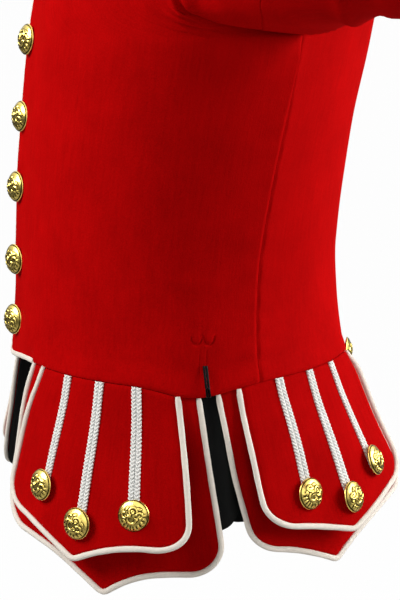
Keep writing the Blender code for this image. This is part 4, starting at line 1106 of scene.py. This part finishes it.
# Along the bottom, from the opening to the flaps. On the left it comes down the closing edge first.
BOTTOM_UNTIL = UNDER_FLAPS["front"].front_top - PIPING_RADIUS - 2 * SEAM
BOTTOM_FROM = {"left": 1.0, "right": OVERLAP + 2 * PIPING_RADIUS + 4 * SEAM}
EDGE_PIPING_SINK = -0.6
BOTTOM_POINTS, CLOSING_POINTS = 60, 260
for side, hand in HANDS:
    places = np.linspace(BOTTOM_FROM[hand], BOTTOM_UNTIL, BOTTOM_POINTS)
    angles, heights = np.interp(places, SEAM_PLACES, SEAM_ANGLES), np.full(BOTTOM_POINTS, SEAM / 2)
    if hand == "left":
        falling = np.linspace(NECK_FRONT_HEIGHT, SEAM, CLOSING_POINTS)
        corner = -body_angle(OVERLAP * 0.5, heights[:1])
        angles = np.concatenate((-body_angle(OVERLAP, falling), corner, angles))
        heights = np.concatenate((falling, heights[:1], heights))
    lift = cloth_life(angles, heights) * above_seam(heights)
    if hand == "right":
        lift = lift - underlap_drop(angles, heights)
    add_piping(f"sewn_edge_piping_{hand}", torso(angles, heights, lift),
               torso_normal(angles, np.maximum(heights, 1)), 0.0, side, EDGE_PIPING_SINK)

# ------------------------------------------------------------------ white braid
# Flat doubled braid, three bars on each over flap: two plaited ridges with a groove between them.
# Each bar is caught in the waist seam and runs down under its button.

BRAID_WIDTH, BRAID_THICKNESS = 6.6, 1.6
BRAID_STRAND = 2.7  # distance between its stitches
BRAID_SLANT, BRAID_SHARPNESS = 1.5, 0.7
BRAID_SIDES, BRAID_RINGS_PER_MM = 24, 2.6
BRAID_UNDER_BUTTON, BRAID_START, BRAID_GAP, BRAID_CURVE, BRAID_SCALLOP = 5, OVER_START - 0.2, 0.15, 0.6, 0.16

Braid = namedtuple("Braid", "top low depth")
BRAIDS = {
    "front": (Braid(127, 117.5, 85), Braid(157, 153, 105), Braid(185.5, 189, 92)),
    "rear": (Braid(291.5, 300.5, 89), Braid(323.5, 332, 101), Braid(354.5, 364, 84)),
}


def plait_group():
    """Two plaits side by side: slanting stitches, with painted shade between them and in the groove."""
    group, given, result = new_group("plaited_cord", {
        "Across": 0.0, "Along": 0.0, "Stitch": BRAID_STRAND, "Colour": None, "Gap colour": None,
        "Relief": 0.7})
    off_groove = math_node(group, "ABSOLUTE", given["Across"])
    off_ridge = math_node(group, "ABSOLUTE", math_node(group, "SUBTRACT", off_groove, 0.5))
    steps = math_node(group, "DIVIDE", given["Along"], given["Stitch"])
    slant = math_node(group, "MULTIPLY_ADD", off_ridge, BRAID_SLANT, steps)
    wave = math_node(group, "SINE", math_node(group, "MULTIPLY", slant, pi))
    stitch = math_node(group, "POWER", math_node(group, "ABSOLUTE", wave), BRAID_SHARPNESS)
    groove = range_node(group, off_groove, 0.0, 0.12, way="SMOOTHSTEP")
    crown = range_node(group, off_ridge, 0.0, 0.5, 1.0, 0.75)
    raised = math_node(group, "MULTIPLY", math_node(group, "MULTIPLY", stitch, groove), crown)
    lint = noise_node(group, add_node(group, "TexCoord", {}).outputs["Object"], scale=900.0, detail=3.0)
    tone = math_node(group, "MULTIPLY_ADD", lint, 0.35, raised)
    # Painted shade: the darker colour lies where the stitches sink, between them and in the groove.
    colour = mix_colour(group, range_node(group, tone, 0.22, 0.72), given["Gap colour"], given["Colour"])
    rough = range_node(group, raised, 0.0, 1.0, 0.95, 0.6)
    return end_group(group, result, colour, rough, tone, 0.0007, given["Relief"])


# Its gap colour is painted shade for the hollows of the plait.
white_braid, tree, shader, plait = group_material(
    "white_braid", plait_group(),
    {"Colour": (1.0, 0.99, 0.93, 1), "Gap colour": (0.5, 0.51, 0.5, 1), "Relief": 0.8},
    {"Sheen Weight": 0.05})
for label in ("Across", "Along"):
    mark = add_node(tree, "Attribute", {}, attribute_name=label.lower())
    tree.links.new(mark.outputs["Fac"], plait.inputs[label])


def braid_section(u, v, length):
    """Across the braid from -1 to 1, down it in millimetres, and whether a place is on its face."""
    turn = 2 * pi * u
    return np.clip(1.12 * np.cos(turn), -1, 1), BRAID_START + v * (length - OVER_START), np.sin(turn)


def braid_surface(braid, length):
    def place(u, v):
        across, depth, facing = braid_section(u, v, length)
        inner = np.abs(across)
        ridge = np.sqrt(np.clip(1 - ((inner - 0.5) / 0.55) ** 2, 0, 1))
        stitch = np.abs(np.sin(pi * (depth / BRAID_STRAND + BRAID_SLANT * np.abs(inner - 0.5))))
        height = BRAID_THICKNESS * (0.5 + 0.5 * ridge) * (0.6 + 0.4 * stitch**BRAID_SHARPNESS)
        lifted = np.where(facing > 0, height, 0.0) * ease(np.abs(facing) * 3)
        scallop = 1 + BRAID_SCALLOP * (stitch - 0.5) * ease((inner - 0.7) * 4)
        along = braid.top + (braid.low - braid.top) * depth / braid.depth
        curve = BRAID_CURVE * np.sin(pi * depth / braid.depth)
        return flap_point(along + across * BRAID_WIDTH / 2 * scallop + curve, depth,
                          over_lift(along, depth) + BRAID_GAP + lifted)

    return place


def add_bar(braid, side):
    """One bar of braid, which carries its own places across and along for the stitches."""
    length = braid.depth + BRAID_UNDER_BUTTON
    surface = braid_surface(braid, length)

    def marks(u, v):
        across, depth, _ = braid_section(u, v, length)
        return {"across": across, "along": depth}

    return add_tube("bar", BRAID_SIDES, int(length * BRAID_RINGS_PER_MM),
                    lambda u, v: surface(u, v) * (side, 1, 1), marks)


for side, hand in HANDS:
    for part, braids in BRAIDS.items():
        bars = [add_bar(braid, side) for braid in braids]
        bpy.ops.object.select_all(action="DESELECT")
        for bar in bars:
            bar.select_set(True)
        bpy.context.view_layer.objects.active = bars[0]
        bpy.ops.object.join()
        bars[0].name = bars[0].data.name = f"sewn_{part}_braid_{hand}"
        finish_piece(bars[0], white_braid)

# ------------------------------------------------------------------ gilt buttons
# Domed two-part buttons in stamped gilt brass: a thin turned rim and a generic sprig of scrolls
# and leaves over a row of bars. The hollows have gone dark, the raised work is worn.

BUTTON_RADIUS, BUTTON_RIM, BUTTON_DOME, BUTTON_BACK = 11.8, 1.3, 4.6, 8.0
DOME_RADIUS, DOME_SWELL = 11.6, 0.55
BUTTON_ROUND, BUTTON_RINGS = 96, 46
BUTTON_PROFILE_BREAK = 0.2  # share of the rings that make the back and the rim
BACK_SHARES = (0, 0.3, 0.55, 0.8, 1)
BACK_RADII, BACK_HEIGHTS = (0, BUTTON_BACK, 11.1, 11.7, BUTTON_RADIUS), (0, 0, 0.7, 0.9, BUTTON_RIM)
BUTTON_RELIEF = 0.7
WEAR_REACH, WEAR_ROUND, WEAR_LEVEL, WEAR_CONTRAST, WEAR_ON_BACK = 0.75, 8, 0.66, 2.6, 0.6

gilt_brass, tree, shader = new_material("gilt_brass", {"Metallic": 1.0})
relief = add_node(tree, "Attribute", {}, attribute_name="relief")
where = add_node(tree, "TexCoord", {}).outputs["Object"]
stain = noise_node(tree, where, scale=260.0, detail=4.0)
scratch = noise_node(tree, where, scale=900.0, detail=2.0)
stained = math_node(tree, "MULTIPLY_ADD", stain, 0.6, relief.outputs["Fac"])
worn = range_node(tree, stained, 0.5, 1.0, way="SMOOTHSTEP")
gloss = range_node(tree, worn, 0.0, 1.0, 0.4, 0.17)
dent = add_node(tree, "Bump", {"Height": scratch, "Distance": 0.0003, "Strength": 0.5})
metal = mix_colour(tree, worn, (0.05, 0.03, 0.004, 1), (0.96, 0.74, 0.19, 1))
tree.links.new(metal, shader.inputs["Base Color"])
tree.links.new(gloss.outputs[0], shader.inputs["Roughness"])
tree.links.new(dent.outputs[0], shader.inputs["Normal"])

# The sprig: arcs (middle, radius, from and to in turns) and leaves (middle, heading, length, width).
Arc = namedtuple("Arc", "x y radius start end width")
SCROLLS = (
    Arc(1.8, 3.0, 2.9, -0.1, 0.62, 0.75),
    Arc(1.6, 2.9, 0.9, 0.0, 1.0, 0.55),
    Arc(-1.2, -1.8, 3.1, 0.3, 1.0, 0.75),
    Arc(-5.2, 2.8, 2.0, 0.15, 0.9, 0.65),
    Arc(5.2, -1.4, 2.1, -0.3, 0.45, 0.65),
)
Leaf = namedtuple("Leaf", "x y heading length width")
LEAVES = (
    Leaf(-1.9, 6.7, 0.5, 2.4, 1.1),
    Leaf(6.6, 3.2, -0.7, 2.3, 1.05),
    Leaf(-6.9, -1.2, 1.9, 2.3, 1.1),
    Leaf(1.8, -3.4, 0.3, 2.3, 1.1),
    Leaf(-1.9, 1.2, 2.3, 1.9, 1.0),
)
BARS, BARS_RADIUS, BARS_WIDTH, BARS_LEVEL, BARS_CONTRAST = 19, 8.7, 1.15, 0.8, 1.6
STAMPED_RIM, STAMPED_RIM_WIDTH, STAMPED_RIM_HEIGHT = 11.2, 0.25, 0.9
LEAF_SWELL, VEIN_DEPTH, VEIN_WIDTH = 2.2, 0.5, 0.22


def stamped_relief(x, y):
    """Height of the stamping, from 0 in the hollows to 1 on the raised work."""
    radius, turn = np.hypot(x, y), np.arctan2(y, x)
    low = ease((-0.05 - np.sin(turn)) * 4)
    bars = ease(BARS_LEVEL + BARS_CONTRAST * np.cos(BARS * turn + 1.5 * np.sin(3 * turn)))
    rim = ease((radius - STAMPED_RIM) / STAMPED_RIM_WIDTH) * STAMPED_RIM_HEIGHT
    raised = [bars * bell(radius - BARS_RADIUS, BARS_WIDTH) * low, rim]
    for arc in SCROLLS:
        dx, dy = x - arc.x, y - arc.y
        share = ((np.arctan2(dy, dx) / (2 * pi) - arc.start) % 1) / (arc.end - arc.start)
        held = np.where(share <= 1, 1.0, 0.0) if arc.end - arc.start < 1 else 1.0
        raised.append(bell(np.hypot(dx, dy) - arc.radius, arc.width) * held)
    for leaf in LEAVES:
        dx, dy = x - leaf.x, y - leaf.y
        along = dx * cos(leaf.heading) + dy * sin(leaf.heading)
        across = dy * cos(leaf.heading) - dx * sin(leaf.heading)
        inside = 1 - np.hypot(along / leaf.length, across / leaf.width)
        raised.append(ease(inside * LEAF_SWELL) * (1 - VEIN_DEPTH * bell(across, VEIN_WIDTH)))
    return np.clip(np.maximum.reduce(raised), 0, 1)


def button_place(u, v):
    """Rings from the middle of the back out over the rim to the top of the dome."""
    turn = 2 * pi * u
    back_share = np.clip(v / BUTTON_PROFILE_BREAK, 0, 1)
    top_share = np.clip((v - BUTTON_PROFILE_BREAK) / (1 - BUTTON_PROFILE_BREAK), 0, 1)
    top_radius = BUTTON_RADIUS * (1 - top_share)
    flat = 1 - (top_radius / DOME_RADIUS) ** 2
    swell = np.sqrt(np.clip(flat, 0, 1))
    dome = BUTTON_RIM + BUTTON_DOME * np.clip(DOME_SWELL * swell + (1 - DOME_SWELL) * flat, 0, 1)
    stamping = stamped_relief(top_radius * np.cos(turn), top_radius * np.sin(turn))
    raised = BUTTON_RELIEF * stamping * ease(top_share * 12)
    on_back = v < BUTTON_PROFILE_BREAK
    radius = np.where(on_back, np.interp(back_share, BACK_SHARES, BACK_RADII), top_radius)
    height = np.where(on_back, np.interp(back_share, BACK_SHARES, BACK_HEIGHTS), dome + raised)
    return np.stack((radius * np.cos(turn), radius * np.sin(turn), height), axis=1)


def button_marks(u, v):
    """Wear: 1 on the raised work, 0 in the crevices beside it."""
    x, y, _ = button_place(u, v).T
    ways = np.linspace(0, 2 * pi, WEAR_ROUND + 1)[1:]
    beside = [stamped_relief(x + WEAR_REACH * cos(way), y + WEAR_REACH * sin(way)) for way in ways]
    wear = WEAR_LEVEL + WEAR_CONTRAST * (stamped_relief(x, y) - sum(beside) / WEAR_ROUND)
    return {"relief": np.where(v < BUTTON_PROFILE_BREAK, WEAR_ON_BACK, np.clip(wear, 0, 1))}


def seat_of(node):
    """Middle and outward direction of a solid button's flat back, its largest flat face."""
    mesh = node.data
    points = np.array([vertex.co for vertex in mesh.vertices])
    areas = {}
    for face in mesh.polygons:
        areas.setdefault(tuple(np.round(face.normal, 2)), []).append(face)
    back = max(areas.values(), key=lambda faces: sum(face.area for face in faces))
    corners = points[[index for face in back for index in face.vertices]]
    middle = (corners.max(axis=0) + corners.min(axis=0)) / 2
    return Vector(middle), -Vector(back[0].normal)


# Each is a copy of one pattern button, seated on its solid and turned a little on its shank.
pattern_button = add_tube("pattern_button", BUTTON_ROUND, BUTTON_RINGS, button_place, button_marks)
button_nodes = sorted(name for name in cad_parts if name.startswith("button_"))
for number, name in enumerate(button_nodes):
    middle, outward = seat_of(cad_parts[name])
    stamped = pattern_button.copy()
    stamped.data = pattern_button.data.copy()
    stamped.name = stamped.data.name = "gilt_" + name
    bpy.context.scene.collection.objects.link(stamped)
    upright = outward.to_track_quat("Z", "Y").to_matrix().to_4x4()
    spin = Matrix.Rotation(0.4 * sin(2.4 * number), 4, "Z")
    stamped.data.transform(Matrix.Translation(middle) @ upright @ spin)
    finish_piece(stamped, gilt_brass)
bpy.data.objects.remove(pattern_button)

# ------------------------------------------------------------------ belt hooks
# A black japanned wire hook at each side, doubled: it comes out of the cloth over the waist seam,
# runs down into the vent and turns up at its end.

HOOK_WIRE, HOOK_HALF_WIDTH, HOOK_LEAN, HOOK_TWIST = 0.9, 0.95, 0.13, 0.2
HOOK_SIDES, HOOK_RINGS = 14, 119
# Its side view: heights and distances off the cloth.
HOOK_ROUTE = ((11.5, 0.1), (7, 1.6), (2, 3.4), (-2.5, 4.8), (-6, 6.4), (-8, 9), (-7.5, 12), (-4.5, 13.8),
              (-1, 14.3))

black_wire, tree, shader = new_material("black_wire", {"Specular IOR Level": 0.06})
chips = noise_node(tree, add_node(tree, "TexCoord", {}).outputs["Object"], scale=300.0, detail=3.0)
wire_gloss = range_node(tree, chips, 0.0, 1.0, 0.3, 0.36)
tree.links.new(mix_colour(tree, chips, (0.001, 0.001, 0.001, 1), (0.003, 0.003, 0.0035, 1)),
               shader.inputs["Base Color"])
tree.links.new(wire_gloss.outputs[0], shader.inputs["Roughness"])

hook_angle = np.array([radians(HOOK_ANGLE)])
outward = torso_normal(hook_angle, np.array([10.0]))[0] * (1, 1, 0)
outward = outward / np.linalg.norm(outward)
across = np.cross(outward, (0, 0, 1))
route = []
for height, off in HOOK_ROUTE:
    base = torso_base(hook_angle, np.array([max(0.0, height)]))[0]
    base[2] = height - SHOULDER_HEIGHT
    aside = HOOK_TWIST * off - HOOK_LEAN * (HOOK_ROUTE[0][0] - height)
    route.append(base + outward * off + across * aside)
route = np.array(route)
end_run = route[-1] - route[-2]
# The wire goes down one side of the route, round the tip and back up the other side.
tip = route[-1] + end_run / np.linalg.norm(end_run) * HOOK_HALF_WIDTH
wire = np.vstack((route - across * HOOK_HALF_WIDTH, tip, (route + across * HOOK_HALF_WIDTH)[::-1]))
wire_run = run_of(wire)
wire = soften(points_at(np.linspace(0, wire_run[-1], HOOK_RINGS + 1), wire_run, wire), 9)
along = unit(np.gradient(wire, axis=0))
first = unit(np.cross(along, outward + 0.02))
thick = np.full(HOOK_RINGS + 1, HOOK_WIRE)
hook_surface = round_line(wire, first, np.cross(along, first), thick, thick)
for side, hand in HANDS:
    hook = add_tube(f"wire_belt_hook_{hand}", HOOK_SIDES, HOOK_RINGS,
                    lambda u, v: hook_surface(u, v) * (side, 1, 1))
    finish_piece(hook, black_wire)
